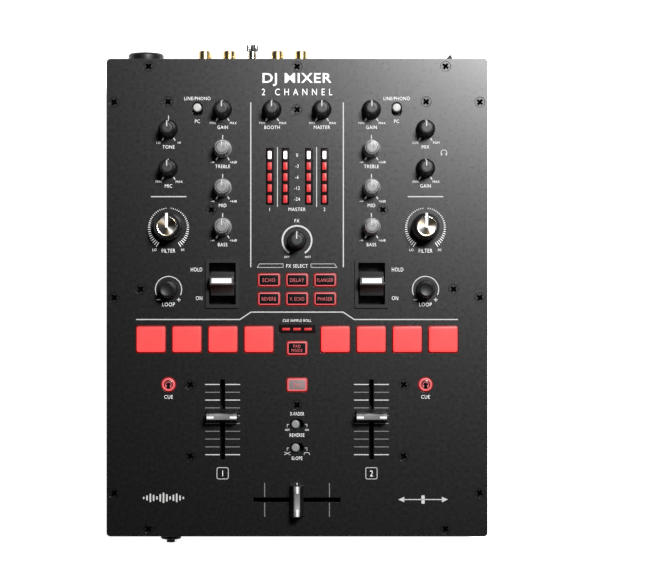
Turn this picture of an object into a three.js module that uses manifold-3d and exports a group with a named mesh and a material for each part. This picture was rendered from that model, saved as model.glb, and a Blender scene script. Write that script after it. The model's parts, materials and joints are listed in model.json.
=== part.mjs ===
// Two-channel DJ scratch mixer. Millimetres, +Z up.
// X runs from left to right across the panel, Y from the player's side to the rear, and Z = 0 is the
// surface that the feet stand on. The origin is the centre of the mixer's whole footprint.
// Panel positions are measured from the middle of the top plate. Heights on a control are measured
// from the top plate's upper face, and depths on a socket from the outer face of its wall.

import * as THREE from "three";
import { mergeVertices } from "three/addons/utils/BufferGeometryUtils.js";
import Module from "manifold-3d";

const wasm = await Module();
wasm.setup();

// ---------------------------------------------------------------- driving dimensions

// Casework
const PLATE_WIDTH = 254;
const PLATE_DEPTH = 318.5;
const PLATE_THICKNESS = 2;
const PLATE_TOP = 90;
const PLATE_CORNER = 2.5;
const SHEET = 1.2;
const WALL_INSET = 0.8;
const LIP_WIDTH = 10;
const FOOT_HEIGHT = 8;
const FOOT_RADIUS = 12;
const FOOT_X = 100;
const FOOT_Y = 132;
const GAP = 0.3;
const OVERLAP = 0.5;
const CUT_PAST = 1.5;

// How far the rear and front fittings stand out past the plate's edges
const GROUND_REACH = 12.3;
const PHONES_REACH = 6.9;
const PANEL_Y = (PHONES_REACH - GROUND_REACH) / 2;
const WALL_X = PLATE_WIDTH / 2 - WALL_INSET;
const WALL_Y = PLATE_DEPTH / 2 - WALL_INSET;

// Control board, hung under the top plate
const BOARD_THICKNESS = 1.6;
const BOARD_TOP = 74;
const BOARD_HALF_WIDTH = 117;
const BOARD_FRONT = -118;
const BOARD_REAR = 133;
const BOARD_NOTCH_X = 78;
const BOARD_NOTCH_Y = 124;
const BOARD_LEVEL = BOARD_TOP - PLATE_TOP;
const POT_SIZE = 11;
const POT_HEIGHT = 7;
const SHAFT_RADIUS = 3;
const SHAFT_BORE = 3.3;
const SHAFT_FOOT = -15;
const PLATE_BORE = 3.9;
const TACT_SIZE = 6;
const TACT_HEIGHT = 4.3;
const STANDOFF_RADIUS = 3;
const POST_SIDES = 8;
const BORE_FLOOR = 0.6;
const LED_GUIDE = [20.3, 4, 12];

// Columns and rows of the panel
const OUTER_X = 85.65;
const CHANNEL_X = 49.6;
const MASTER_X = 16.6;
const GAIN_Y = 125.3;
const TREBLE_Y = 99.2;
const MID_Y = 73.2;
const BASS_Y = 47.1;
const UPPER_Y = 112.2;
const LOWER_Y = 86.2;
const FX_Y = 38.1;
const LOOP_Y = 5.4;
const CUE_Y = -57.9;
const METER_COLUMNS = [-18.25, -7.8, 7.8, 18.25];
const METER_Y = 80.7;
const METER_SLOT = [5.1, 37.9];
const METER_BASE = [48, 41.9, 3];
const METER_BAR_TOP = -0.4;
const PAD_COLUMNS = [-97.35, -73.45, -49.4, -25.45, 25.45, 49.4, 73.45, 97.35];
const PAD_Y = -27.8;
const PAD_SIZE = [19.7, 18];
const FX_BUTTON_SIZE = [15.1, 9.1];
const FX_BUTTON_COLUMNS = [-18.7, 0, 18.7];
const FX_BUTTON_ROWS = [11.7, -0.8];
const PAD_MODE_SIZE = [14, 9.6];
const PAD_MODE_Y = -33.7;
const TAP_SIZE = [14, 9.4];
const TAP_Y = -58.1;
const LED_WINDOW = [24.3, 5.5];
const LED_Y = -21;
const STANDOFFS = [
  [0, GAIN_Y], [57.1, 58.6], [-57.1, 58.6], [104.3, 5.6], [-104.3, 5.6],
  [71.1, -58], [-71.1, -58], [0, -71.6], [71.1, -105.6], [-71.1, -105.6],
];

// Knobs: skirt, waist and top are radii
const SMALL_KNOB = { skirt: 6.35, waist: 5.1, top: 4.1, height: 15, sides: 12, look: "blackKnob" };
const TONE_KNOB = { skirt: 6.1, waist: 5.2, top: 4.3, height: 14.5, sides: 12, look: "silverKnob" };
const FILTER_KNOB = { skirt: 9.2, waist: 8.9, top: 6.6, height: 17, sides: 16, look: "filterKnob" };
const LOOP_KNOB = { skirt: 6.25, waist: 5.6, top: 4.5, height: 14, sides: 12, look: "blackKnob" };
const KNOB_LIFT = 1;
const SKIRT_HEIGHT = 1.8;
const SKIRT_BEVEL = 1;
const ROTOR_OUTER = 3;
const ROTOR_INNER = 1.95;
const ROTOR_FOOT = -14.8;
const ROTOR_TOP = -4.5;
const PUSH_SHAFT = 1.6;
const PUSH_SHAFT_FOOT = -13.5;

// Buttons and pads
const BUTTON_RISE = 1.6;
const PAD_RISE = 2.4;
const BUTTON_CLEARANCE = 0.4;
const BUTTON_CORNER = 1.2;
const SLOT_CORNER = 0.4;
const CUE_RADIUS = 4.85;
const CUE_FLANGE = 6.05;
const FLANGE_TOP = -2.4;
const FLANGE_THICKNESS = 1.4;
const FLANGE_WIDTH = 0.9;
const PLUNGER_SIZE = 4;
const PLUNGER_FOOT = -10.2;

// Faders
const FADER_SLOT = [3, 53.5];
const FADER_SLOT_Y = -81.3;
const FADER_REST_Y = -78.7;
const CROSSFADER_Y = -134.8;
const CROSSFADER_SLOT = [57.9, 3];
const CAP_LENGTH = 20.2;
const CAP_DEPTH = 8.8;
const CAP_RIDGE = 4.4;
const CAP_LIFT = 1.5;
const CAP_SHOULDER = 4.5;
const CAP_TOP = 12.5;
const STEM_THICKNESS = 1.2;
const STEM_LENGTH = 6;
const CARRIAGE = { width: 5, length: 12, foot: -13, height: 5 };
const CHANNEL = { width: 12, length: 66, height: 9, grooveWidth: 6, grooveLength: 62, floor: 1.5 };

// Crossfader unit, a frame with two guide rods under the plate
const UNIT = { halfLength: 42, depth: 22, foot: 64, wall: 1.5, earLength: 8, top: 87.7 };
const ROD_RADIUS = 1.5;
const ROD_BORE = 1.9;
const ROD_SPREAD = 5;
const ROD_LEVEL = 78;
const SLIDER = { length: 12, depth: 16, foot: -16, height: 8 };

// Slide switches
const INPUT_SWITCH_X = 66.4;
const INPUT_SWITCH_Y = 125.6;
const REVERSE_Y = -84.3;
const SLOPE_Y = -100;
const SWITCH_SLOT = [7, 9.6];
const SWITCH_TRAVEL = 2;
const SWITCH_BODY = { width: 9, length: 12, height: 8, slotWidth: 3, slotLength: 6, slotDepth: 4 };
const SWITCH_CAP = { radius: 2.7, foot: -4, shoulder: 1.6, top: 2.5, crown: 1.7 };
const SWITCH_STEM = 2;
const SWITCH_STEM_FOOT = -11;

// Effect paddles
const PADDLE_X = 49.7;
const PADDLE_Y = 9.3;
const PADDLE_BEZEL = [22.3, 32.5];
const PADDLE_WELL = [18, 28];
const BEZEL_RISE = 1.6;
const PADDLE_WIDTH = 15.8;
const PADDLE_PIVOT = -8;
const TRUNNION_RADIUS = 1.5;
const TRUNNION_BORE = 1.9;
const EAR = { inner: 9.3, thickness: 2, depth: 8, top: -4 };
const PADDLE_SECTION = [
  [-6.5, -2.5], [6.5, -2.5], [8, 3], [7.6, 8.5], [3.9, 20], [-0.4, 20], [-7.6, 8.5], [-8, 3],
];

// Rear and front fittings
const RCA_COLUMNS = [-63.2, -46.6, -13.9, 2.3];
const RCA_LEVELS = [50, 64];
const RCA_RADIUS = 4.15;
const RCA_BORE = 1.7;
const RCA_REACH = 8.9;
const RCA_HOLE = 4.7;
const RCA_BLOCK = { width: 13, depth: 10, top: 71.5 };
const JACK_BOARD = { left: -74, right: 76, front: 118, bottom: 40, thickness: 1.6, legInset: 6, gap: 1 };
const USB = { x: 40, width: 12, height: 11, depth: 16, socketWidth: 8.6, socketHeight: 7.8, bore: 12.5 };
const POWER_INLET = { x: 62, width: 10, height: 11, depth: 14, nose: 4.4, bore: 3.1, boreDepth: 10, pin: 1 };
const GROUND_X = -30.7;
const GROUND_Z = 65;
const STUD_RADIUS = 2;
const STUD_REACH = 12.3;
const COLLAR_RADIUS = 3;
const COLLAR_REACH = 4.6;
const SLEEVE = { bore: 2.3, radius: 3, from: 4.9, to: 8.2 };
const NUT = { bore: 2.3, radius: 3.85, from: 8.5, to: GROUND_REACH + WALL_INSET };
const MIC = { x: -103.6, z: 58, flange: [26, 31], body: 11, boss: 12.1, depth: 25, reach: 7.8 };
const MIC_INSERT = { radius: 7.2, face: 6.5, grooveOuter: 9.6, grooveFloor: -6 };
const MIC_FLANGE = { corner: 3, thickness: 2, hole: 11.5 };
const MIC_CHAMFER = 1.1;
const JACK_FLOOR = 3;
const PHONES = { x: -86, z: 65, bushing: 4.05, nut: 7, nutReach: 5.3, reach: PHONES_REACH + WALL_INSET };
const PHONES_BODY = { width: 14, height: 12, depth: 24 };
const JACK_BORE = 3.3;
const POWER = { x: 100.7, z: 65, bezel: [21.7, 15], body: [19.5, 13], cavity: [17.5, 11] };
const POWER_DEPTH = { bezel: 2.9, body: 18, cavity: 10 };
const ROCKER = { pivot: -6, height: 10.4, tilt: -14 };
const ROCKER_ARC = [[55, 9], [35, 9], [15, 9.4], [0, 12.2], [-15, 9.4], [-35, 9], [-55, 9]];
const ROCKER_FOOT = [[-4, -1.8], [4, -1.8]];
const ROCKER_PIN = 1.2;
const ROCKER_BORE = 1.6;

const SIDES = 12;
const FINE_SIDES = 16;
const QUARTER_TURN = Math.PI / 2;

// ---------------------------------------------------------------- materials

const finish = (color, roughness, metalness) =>
  new THREE.MeshStandardMaterial({ color, roughness, metalness });

const MATERIALS = {
  panel: finish(0x1d1d20, 0.5, 0.2),
  chassis: finish(0x151517, 0.55, 0.2),
  board: finish(0x14352a, 0.6, 0.1),
  metal: finish(0xb9bcc0, 0.3, 0.9),
  blackKnob: finish(0x121214, 0.45, 0),
  silverKnob: finish(0x8f9194, 0.4, 0.3),
  filterKnob: finish(0xc9c2b2, 0.3, 0.8),
  pad: finish(0xff5555, 0.35, 0),
  buttonRing: finish(0xe8505a, 0.4, 0),
  buttonGrey: finish(0x9a8084, 0.4, 0),
  fader: finish(0x1a1a1c, 0.35, 0.1),
  switchCap: finish(0xe6e6e3, 0.4, 0),
  paddle: finish(0xa8a9ab, 0.25, 0.6),
  lens: finish(0x2a1416, 0.2, 0),
  brass: finish(0xc9a44a, 0.3, 0.9),
  socket: finish(0x1b1b1d, 0.5, 0),
};

// ---------------------------------------------------------------- shapes

function circlePoints(radius, x = 0, y = 0, sides = SIDES) {
  return Array.from({ length: sides }, (_, index) => {
    const angle = (2 * Math.PI * index) / sides;
    return new THREE.Vector2(x + radius * Math.cos(angle), y + radius * Math.sin(angle));
  });
}

// A rectangle whose corners are arcs of the given number of steps; one step is a plain chamfer.
function roundedPoints([width, depth], radius, x = 0, y = 0, steps = 1) {
  const points = [];
  for (let corner = 0; corner < 4; corner += 1) {
    const signX = corner === 0 || corner === 3 ? 1 : -1;
    const signY = corner < 2 ? 1 : -1;
    for (let step = 0; step <= steps; step += 1) {
      const angle = (corner + step / steps) * QUARTER_TURN;
      points.push(new THREE.Vector2(
        x + signX * (width / 2 - radius) + radius * Math.cos(angle),
        y + signY * (depth / 2 - radius) + radius * Math.sin(angle),
      ));
    }
  }
  return points;
}

function slab(outline, height, base = 0, holes = []) {
  const shape = new THREE.Shape(outline);
  shape.holes = holes.map((points) => new THREE.Path(points));
  const geometry = new THREE.ExtrudeGeometry(shape, { depth: height, steps: 1, bevelEnabled: false });
  return geometry.translate(0, 0, base);
}

function block(width, depth, height, x = 0, y = 0, base = 0) {
  return new THREE.BoxGeometry(width, depth, height).translate(x, y, base + height / 2);
}

function drum(radius, height, x = 0, y = 0, base = 0, sides = SIDES) {
  const geometry = new THREE.CylinderGeometry(radius, radius, height, sides);
  return geometry.rotateX(QUARTER_TURN).translate(x, y, base + height / 2);
}

// A profile of [radius, height] pairs turned about Z.
function turned(profile, sides = SIDES) {
  const points = profile.map(([radius, height]) => new THREE.Vector2(radius, height));
  return new THREE.LatheGeometry(points, sides).rotateX(QUARTER_TURN);
}

function ring(inner, outer, from, to, sides = SIDES) {
  return turned([[inner, from], [outer, from], [outer, to], [inner, to], [inner, from]], sides);
}

// A section of [y, z] pairs pushed along X, centred on X = 0.
function crossPrism(section, width) {
  const shape = new THREE.Shape(section.map(([y, z]) => new THREE.Vector2(y, z)));
  const geometry = new THREE.ExtrudeGeometry(shape, { depth: width, steps: 1, bevelEnabled: false });
  const turn = new THREE.Matrix4().makeBasis(
    new THREE.Vector3(0, 1, 0),
    new THREE.Vector3(0, 0, 1),
    new THREE.Vector3(1, 0, 0),
  );
  return geometry.translate(0, 0, -width / 2).applyMatrix4(turn);
}

function drumAlongX(radius, length, x = 0, y = 0, z = 0) {
  return drum(radius, length, 0, 0, -length / 2).rotateY(QUARTER_TURN).translate(x, y, z);
}

// A drum whose axis is Y, from y = from to y = to.
function drumAlongY(radius, from, to, x = 0, z = 0, sides = SIDES) {
  return drum(radius, to - from, 0, 0, from, sides).rotateX(-QUARTER_TURN).translate(x, 0, z);
}

function toSolid(geometry) {
  geometry.deleteAttribute("normal");
  geometry.deleteAttribute("uv");
  const merged = mergeVertices(geometry);
  return new wasm.Manifold(new wasm.Mesh({
    numProp: 3,
    vertProperties: merged.attributes.position.array,
    triVerts: new Uint32Array(merged.index.array),
  }));
}

// Joins the first list of geometries and cuts the second list away.
function build(added, removed = []) {
  const joined = added.map(toSolid).reduce((whole, piece) => whole.add(piece));
  return removed.map(toSolid).reduce((whole, piece) => whole.subtract(piece), joined);
}

function part(name, solid, material, x = 0, y = 0, z = 0) {
  const { vertProperties, triVerts } = solid.getMesh();
  const geometry = new THREE.BufferGeometry();
  geometry.setAttribute("position", new THREE.BufferAttribute(vertProperties, 3));
  geometry.setIndex(new THREE.BufferAttribute(triVerts, 1));
  geometry.computeVertexNormals();
  const mesh = new THREE.Mesh(geometry, material);
  mesh.name = name;
  mesh.position.set(x, y, z);
  return mesh;
}

const grow = ([width, depth], margin) => [width + 2 * margin, depth + 2 * margin];
const bothSides = (x, y) => [[-x, y], [x, y]];
const turnedSlot = [SWITCH_SLOT[1], SWITCH_SLOT[0]];

// ---------------------------------------------------------------- layout

const KNOBS = [
  ["tone_knob", -OUTER_X, UPPER_Y, SMALL_KNOB],
  ["mic_knob", -OUTER_X, LOWER_Y, SMALL_KNOB],
  ["mix_knob", OUTER_X, UPPER_Y, SMALL_KNOB],
  ["phones_knob", OUTER_X, LOWER_Y, SMALL_KNOB],
  ["booth_knob", -MASTER_X, GAIN_Y, SMALL_KNOB],
  ["master_knob", MASTER_X, GAIN_Y, SMALL_KNOB],
  ["fx_knob", 0, FX_Y, SMALL_KNOB],
  ...bothSides(CHANNEL_X, GAIN_Y).map(([x, y], side) => [`gain_knob_${side + 1}`, x, y, SMALL_KNOB]),
  ...bothSides(CHANNEL_X, TREBLE_Y).map(([x, y], side) => [`treble_knob_${side + 1}`, x, y, TONE_KNOB]),
  ...bothSides(CHANNEL_X, MID_Y).map(([x, y], side) => [`mid_knob_${side + 1}`, x, y, TONE_KNOB]),
  ...bothSides(CHANNEL_X, BASS_Y).map(([x, y], side) => [`bass_knob_${side + 1}`, x, y, TONE_KNOB]),
  ...bothSides(OUTER_X, BASS_Y).map(([x, y], side) => [`filter_knob_${side + 1}`, x, y, FILTER_KNOB]),
];
const LOOPS = bothSides(OUTER_X, LOOP_Y);
const CUES = bothSides(OUTER_X, CUE_Y);
const FADERS = bothSides(CHANNEL_X, FADER_SLOT_Y);
const PADDLES = bothSides(PADDLE_X, PADDLE_Y);
const INPUT_SWITCHES = bothSides(INPUT_SWITCH_X, INPUT_SWITCH_Y);
const CROSS_SWITCHES = [[0, REVERSE_Y], [0, SLOPE_Y]];
const PADS = PAD_COLUMNS.map((x) => [x, PAD_Y]);
const FX_BUTTONS = FX_BUTTON_ROWS.flatMap((y) => FX_BUTTON_COLUMNS.map((x) => [x, y]));
const POT_PLACES = [...KNOBS.map(([, x, y]) => [x, y]), ...LOOPS];
const TACT_PLACES = [...PADS, ...FX_BUTTONS, ...CUES, [0, PAD_MODE_Y], [0, TAP_Y]];

// ---------------------------------------------------------------- casework

function topPlate() {
  const opening = (size) => ([x, y]) =>
    roundedPoints(grow(size, BUTTON_CLEARANCE), BUTTON_CORNER, x, y);
  const holes = [
    ...POT_PLACES.map(([x, y]) => circlePoints(PLATE_BORE, x, y)),
    ...CUES.map(([x, y]) => circlePoints(CUE_RADIUS + BUTTON_CLEARANCE, x, y)),
    ...PADS.map(opening(PAD_SIZE)),
    ...FX_BUTTONS.map(opening(FX_BUTTON_SIZE)),
    opening(PAD_MODE_SIZE)([0, PAD_MODE_Y]),
    opening(TAP_SIZE)([0, TAP_Y]),
    ...METER_COLUMNS.map((x) => roundedPoints(METER_SLOT, SLOT_CORNER, x, METER_Y)),
    roundedPoints(LED_WINDOW, SLOT_CORNER, 0, LED_Y),
    ...FADERS.map(([x, y]) => roundedPoints(FADER_SLOT, SLOT_CORNER, x, y)),
    roundedPoints(CROSSFADER_SLOT, SLOT_CORNER, 0, CROSSFADER_Y),
    ...PADDLES.map(([x, y]) => roundedPoints(PADDLE_WELL, SLOT_CORNER, x, y)),
    ...INPUT_SWITCHES.map(([x, y]) => roundedPoints(SWITCH_SLOT, SWITCH_SLOT[0] / 2 - 0.1, x, y, 3)),
    ...CROSS_SWITCHES.map(([x, y]) => roundedPoints(turnedSlot, SWITCH_SLOT[0] / 2 - 0.1, x, y, 3)),
  ];
  const outline = roundedPoints([PLATE_WIDTH, PLATE_DEPTH], PLATE_CORNER, 0, 0, 3);
  const sheet = slab(outline, PLATE_THICKNESS, -PLATE_THICKNESS, holes);
  const bezels = PADDLES.map(([x, y]) => slab(
    roundedPoints(PADDLE_BEZEL, BUTTON_CORNER, x, y),
    BEZEL_RISE + OVERLAP,
    -OVERLAP,
    [roundedPoints(PADDLE_WELL, SLOT_CORNER, x, y)],
  ));
  return part("top_plate", build([sheet, ...bezels]), MATERIALS.panel, 0, 0, PLATE_TOP);
}

function rearWallHoles() {
  const inner = WALL_Y - SHEET - OVERLAP;
  const outer = WALL_Y + OVERLAP;
  const depth = outer - inner;
  const middle = (inner + outer) / 2;
  const usbBase = JACK_BOARD.bottom + JACK_BOARD.thickness - GAP;
  return [
    ...RCA_COLUMNS.flatMap((x) => RCA_LEVELS.map((z) => drumAlongY(RCA_HOLE, inner, outer, x, z))),
    block(USB.width + 2 * GAP, depth, USB.height + 2 * GAP, USB.x, middle, usbBase),
    drumAlongY(POWER_INLET.nose + GAP, inner, outer, POWER_INLET.x, usbBase + GAP + POWER_INLET.height / 2),
    drumAlongY(MIC.body + 2 * GAP, inner, outer, MIC.x, MIC.z, FINE_SIDES),
    block(
      POWER.body[0] + 2 * GAP, depth, POWER.body[1] + 2 * GAP,
      POWER.x, middle, POWER.z - POWER.body[1] / 2 - GAP,
    ),
  ];
}

function chassisTray() {
  const top = PLATE_TOP - PLATE_THICKNESS - GAP;
  const outerWidth = 2 * WALL_X;
  const outerDepth = 2 * WALL_Y;
  const shell = block(outerWidth, outerDepth, top - FOOT_HEIGHT, 0, 0, FOOT_HEIGHT);
  const cavity = block(
    outerWidth - 2 * SHEET, outerDepth - 2 * SHEET, top - FOOT_HEIGHT - 2 * SHEET,
    0, 0, FOOT_HEIGHT + SHEET,
  );
  const mouth = block(outerWidth - 2 * LIP_WIDTH, outerDepth - 2 * LIP_WIDTH, 3 * SHEET, 0, 0, top - 2 * SHEET);
  const feet = [-1, 1].flatMap((sideX) => [-1, 1].map((sideY) => drum(
    FOOT_RADIUS, FOOT_HEIGHT + OVERLAP, sideX * FOOT_X, sideY * FOOT_Y - PANEL_Y, 0, FINE_SIDES,
  )));
  const collar = drumAlongY(COLLAR_RADIUS, WALL_Y - OVERLAP, WALL_Y + COLLAR_REACH, GROUND_X, GROUND_Z);
  const stud = drumAlongY(STUD_RADIUS, WALL_Y - OVERLAP, WALL_Y + STUD_REACH, GROUND_X, GROUND_Z);
  const phonesHole = drumAlongY(
    PHONES.bushing + 2 * GAP, -WALL_Y - OVERLAP, -WALL_Y + SHEET + OVERLAP, PHONES.x, PHONES.z,
  );
  const cuts = [cavity, mouth, phonesHole, ...rearWallHoles()];
  const folded = build([shell], cuts);
  const attached = [...feet, collar, stud].map(toSolid).reduce((whole, piece) => whole.add(piece), folded);
  return part("chassis_tray", attached, MATERIALS.chassis);
}

// ---------------------------------------------------------------- control board

function boardOutline() {
  return [
    [-BOARD_HALF_WIDTH, BOARD_FRONT], [BOARD_HALF_WIDTH, BOARD_FRONT],
    [BOARD_HALF_WIDTH, BOARD_NOTCH_Y], [BOARD_NOTCH_X, BOARD_NOTCH_Y],
    [BOARD_NOTCH_X, BOARD_REAR], [-BOARD_NOTCH_X, BOARD_REAR],
    [-BOARD_NOTCH_X, BOARD_NOTCH_Y], [-BOARD_HALF_WIDTH, BOARD_NOTCH_Y],
  ].map(([x, y]) => new THREE.Vector2(x, y));
}

// Everything on the board sinks a little into it, so that it all joins into one piece.
function onBoard(width, depth, height, x, y) {
  return block(width, depth, height + OVERLAP, x, y, BOARD_LEVEL - OVERLAP);
}

function switchBody([x, y], alongX) {
  const { width, length, height } = SWITCH_BODY;
  return alongX ? onBoard(length, width, height, x, y) : onBoard(width, length, height, x, y);
}

function switchBodySlot([x, y], alongX) {
  const { slotWidth, slotLength, slotDepth, height } = SWITCH_BODY;
  const base = BOARD_LEVEL + height - slotDepth;
  return alongX
    ? block(slotLength, slotWidth, slotDepth + OVERLAP, x, y, base)
    : block(slotWidth, slotLength, slotDepth + OVERLAP, x, y, base);
}

function paddleEars([x, y]) {
  const centre = EAR.inner + EAR.thickness / 2;
  return [-1, 1].map((side) =>
    onBoard(EAR.thickness, EAR.depth, EAR.top - BOARD_LEVEL, x + side * centre, y));
}

function controlBoard() {
  const { width, length, height, grooveWidth, grooveLength, floor } = CHANNEL;
  const grooveBase = BOARD_LEVEL + floor;
  const earSpan = 2 * (EAR.inner + EAR.thickness) + OVERLAP;
  const plateUnderside = -PLATE_THICKNESS - GAP;
  const added = [
    slab(boardOutline(), BOARD_THICKNESS, BOARD_LEVEL - BOARD_THICKNESS),
    ...POT_PLACES.map(([x, y]) => onBoard(POT_SIZE, POT_SIZE, POT_HEIGHT, x, y)),
    ...TACT_PLACES.map(([x, y]) => onBoard(TACT_SIZE, TACT_SIZE, TACT_HEIGHT, x, y)),
    ...FADERS.map(([x, y]) => onBoard(width, length, height, x, y)),
    ...INPUT_SWITCHES.map((place) => switchBody(place, false)),
    ...CROSS_SWITCHES.map((place) => switchBody(place, true)),
    ...PADDLES.flatMap(paddleEars),
    ...STANDOFFS.map(([x, y]) => drum(
      STANDOFF_RADIUS, plateUnderside - BOARD_LEVEL + OVERLAP, x, y, BOARD_LEVEL - OVERLAP, POST_SIDES,
    )),
    onBoard(...LED_GUIDE, 0, LED_Y),
  ];
  const removed = [
    ...POT_PLACES.map(([x, y]) => drum(SHAFT_BORE, POT_HEIGHT, x, y, BOARD_LEVEL + BORE_FLOOR)),
    ...FADERS.map(([x, y]) => block(grooveWidth, grooveLength, height, x, y, grooveBase)),
    ...INPUT_SWITCHES.map((place) => switchBodySlot(place, false)),
    ...CROSS_SWITCHES.map((place) => switchBodySlot(place, true)),
    ...PADDLES.map(([x, y]) => drumAlongX(TRUNNION_BORE, earSpan, x, y, PADDLE_PIVOT)),
  ];
  return part("control_board", build(added, removed), MATERIALS.board);
}

function meterWindow() {
  const baseTop = -PLATE_THICKNESS - GAP;
  const base = block(...METER_BASE, 0, METER_Y, baseTop - METER_BASE[2]);
  const bars = METER_COLUMNS.map((x) => block(
    METER_SLOT[0] - 2 * GAP, METER_SLOT[1] - 2 * GAP, METER_BAR_TOP - baseTop + OVERLAP,
    x, METER_Y, baseTop - OVERLAP,
  ));
  return part("meter_window", build([base, ...bars]), MATERIALS.lens);
}

// ---------------------------------------------------------------- knobs

function knobProfile({ skirt, waist, top, height }, shaftRadius, shaftFoot) {
  const skirtTop = KNOB_LIFT + SKIRT_HEIGHT;
  return [
    [0, shaftFoot], [shaftRadius, shaftFoot], [shaftRadius, KNOB_LIFT],
    [skirt, KNOB_LIFT], [skirt, skirtTop], [waist, skirtTop + SKIRT_BEVEL],
    [top, height], [0, height],
  ];
}

function knob(name, x, y, style) {
  const body = turned(knobProfile(style, SHAFT_RADIUS, SHAFT_FOOT), style.sides);
  return part(name, build([body]), MATERIALS[style.look], x, y);
}

function loopRotor([x, y], side) {
  const sleeve = ring(ROTOR_INNER, ROTOR_OUTER, ROTOR_FOOT, ROTOR_TOP);
  return part(`loop_rotor_${side + 1}`, build([sleeve]), MATERIALS.metal, x, y);
}

function loopKnob([x, y], side) {
  const body = turned(knobProfile(LOOP_KNOB, PUSH_SHAFT, PUSH_SHAFT_FOOT), LOOP_KNOB.sides);
  return part(`loop_knob_${side + 1}`, build([body]), MATERIALS[LOOP_KNOB.look], x, y);
}

// ---------------------------------------------------------------- buttons, pads, faders, switches

function plunger() {
  const top = FLANGE_TOP - FLANGE_THICKNESS + OVERLAP;
  return block(PLUNGER_SIZE, PLUNGER_SIZE, top - PLUNGER_FOOT, 0, 0, PLUNGER_FOOT);
}

function squareButton(name, size, rise, material, x, y) {
  const flangeFoot = FLANGE_TOP - FLANGE_THICKNESS;
  const cap = slab(roundedPoints(size, BUTTON_CORNER), rise - FLANGE_TOP + OVERLAP, FLANGE_TOP - OVERLAP);
  const [width, depth] = grow(size, FLANGE_WIDTH);
  const flange = block(width, depth, FLANGE_THICKNESS, 0, 0, flangeFoot);
  return part(name, build([cap, flange, plunger()]), material, x, y);
}

function cueButton([x, y], side) {
  const flangeFoot = FLANGE_TOP - FLANGE_THICKNESS;
  const body = turned([
    [0, flangeFoot], [CUE_FLANGE, flangeFoot], [CUE_FLANGE, FLANGE_TOP],
    [CUE_RADIUS, FLANGE_TOP], [CUE_RADIUS, BUTTON_RISE], [0, BUTTON_RISE],
  ]);
  return part(`cue_button_${side + 1}`, build([body, plunger()]), MATERIALS.buttonRing, x, y);
}

function capSection() {
  const half = CAP_DEPTH / 2;
  const ridge = CAP_RIDGE / 2;
  return [
    [-half, CAP_LIFT], [half, CAP_LIFT], [half, CAP_SHOULDER],
    [ridge, CAP_TOP], [-ridge, CAP_TOP], [-half, CAP_SHOULDER],
  ];
}

function faderCap(x, side) {
  const stemFoot = CARRIAGE.foot + CARRIAGE.height - OVERLAP;
  const pieces = [
    crossPrism(capSection(), CAP_LENGTH),
    block(STEM_THICKNESS, STEM_LENGTH, CAP_LIFT - stemFoot + OVERLAP, 0, 0, stemFoot),
    block(CARRIAGE.width, CARRIAGE.length, CARRIAGE.height, 0, 0, CARRIAGE.foot),
  ];
  return part(`fader_cap_${side + 1}`, build(pieces), MATERIALS.fader, x, FADER_REST_Y);
}

function crossfaderCap() {
  const stemFoot = SLIDER.foot + SLIDER.height - OVERLAP;
  const rodLevel = ROD_LEVEL - PLATE_TOP;
  const pieces = [
    crossPrism(capSection(), CAP_LENGTH).rotateZ(QUARTER_TURN),
    block(STEM_LENGTH, STEM_THICKNESS, CAP_LIFT - stemFoot + OVERLAP, 0, 0, stemFoot),
    block(SLIDER.length, SLIDER.depth, SLIDER.height, 0, 0, SLIDER.foot),
  ];
  const bores = [-1, 1].map((side) =>
    drumAlongX(ROD_BORE, SLIDER.length + OVERLAP, 0, side * ROD_SPREAD, rodLevel));
  return part("crossfader_cap", build(pieces, bores), MATERIALS.fader, 0, CROSSFADER_Y);
}

function crossfaderUnit() {
  const { halfLength, depth, foot, wall, earLength, top } = UNIT;
  const ends = [-1, 1].flatMap((side) => [
    block(wall, depth, top - foot, side * (halfLength - wall / 2), CROSSFADER_Y, foot),
    block(
      earLength + OVERLAP, depth, wall,
      side * (halfLength + (earLength - OVERLAP) / 2), CROSSFADER_Y, top - wall,
    ),
  ]);
  const rods = [-1, 1].map((side) =>
    drumAlongX(ROD_RADIUS, 2 * halfLength - wall, 0, CROSSFADER_Y + side * ROD_SPREAD, ROD_LEVEL));
  const floor = block(2 * halfLength, depth, wall, 0, CROSSFADER_Y, foot);
  return part("crossfader_unit", build([floor, ...ends, ...rods]), MATERIALS.metal);
}

// The actuator stands at one end of its travel.
function slideSwitch(name, [x, y], offsetX, offsetY) {
  const { radius, foot, shoulder, top, crown } = SWITCH_CAP;
  const cap = turned([[0, foot], [radius, foot], [radius, shoulder], [crown, top], [0, top]]);
  const stem = block(
    SWITCH_STEM, SWITCH_STEM, foot - SWITCH_STEM_FOOT + OVERLAP, 0, 0, SWITCH_STEM_FOOT,
  );
  return part(name, build([cap, stem]), MATERIALS.switchCap, x + offsetX, y + offsetY);
}

// The lever's section is given from its pivot; its tip leans a little to the rear.
function paddle([x, y], side) {
  const lever = crossPrism(PADDLE_SECTION, PADDLE_WIDTH);
  const trunnions = drumAlongX(TRUNNION_RADIUS, 2 * (EAR.inner + EAR.thickness));
  return part(`paddle_${side + 1}`, build([lever, trunnions]), MATERIALS.paddle, x, y, PADDLE_PIVOT);
}

// ---------------------------------------------------------------- rear and front fittings

function rcaPieces(x) {
  const { width, depth, top } = RCA_BLOCK;
  const face = WALL_Y - SHEET - GAP;
  const base = JACK_BOARD.bottom + OVERLAP;
  const housing = block(width, depth, top - base, x, face - depth / 2, base);
  const barrels = RCA_LEVELS.map((z) =>
    drumAlongY(RCA_RADIUS, face - OVERLAP, WALL_Y + RCA_REACH, x, z));
  return [housing, ...barrels];
}

function socketBlock({ x, width, height, depth }, front) {
  const base = JACK_BOARD.bottom + OVERLAP;
  const levelTop = JACK_BOARD.bottom + JACK_BOARD.thickness + height;
  return block(width, depth, levelTop - base, x, front - depth / 2, base);
}

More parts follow.
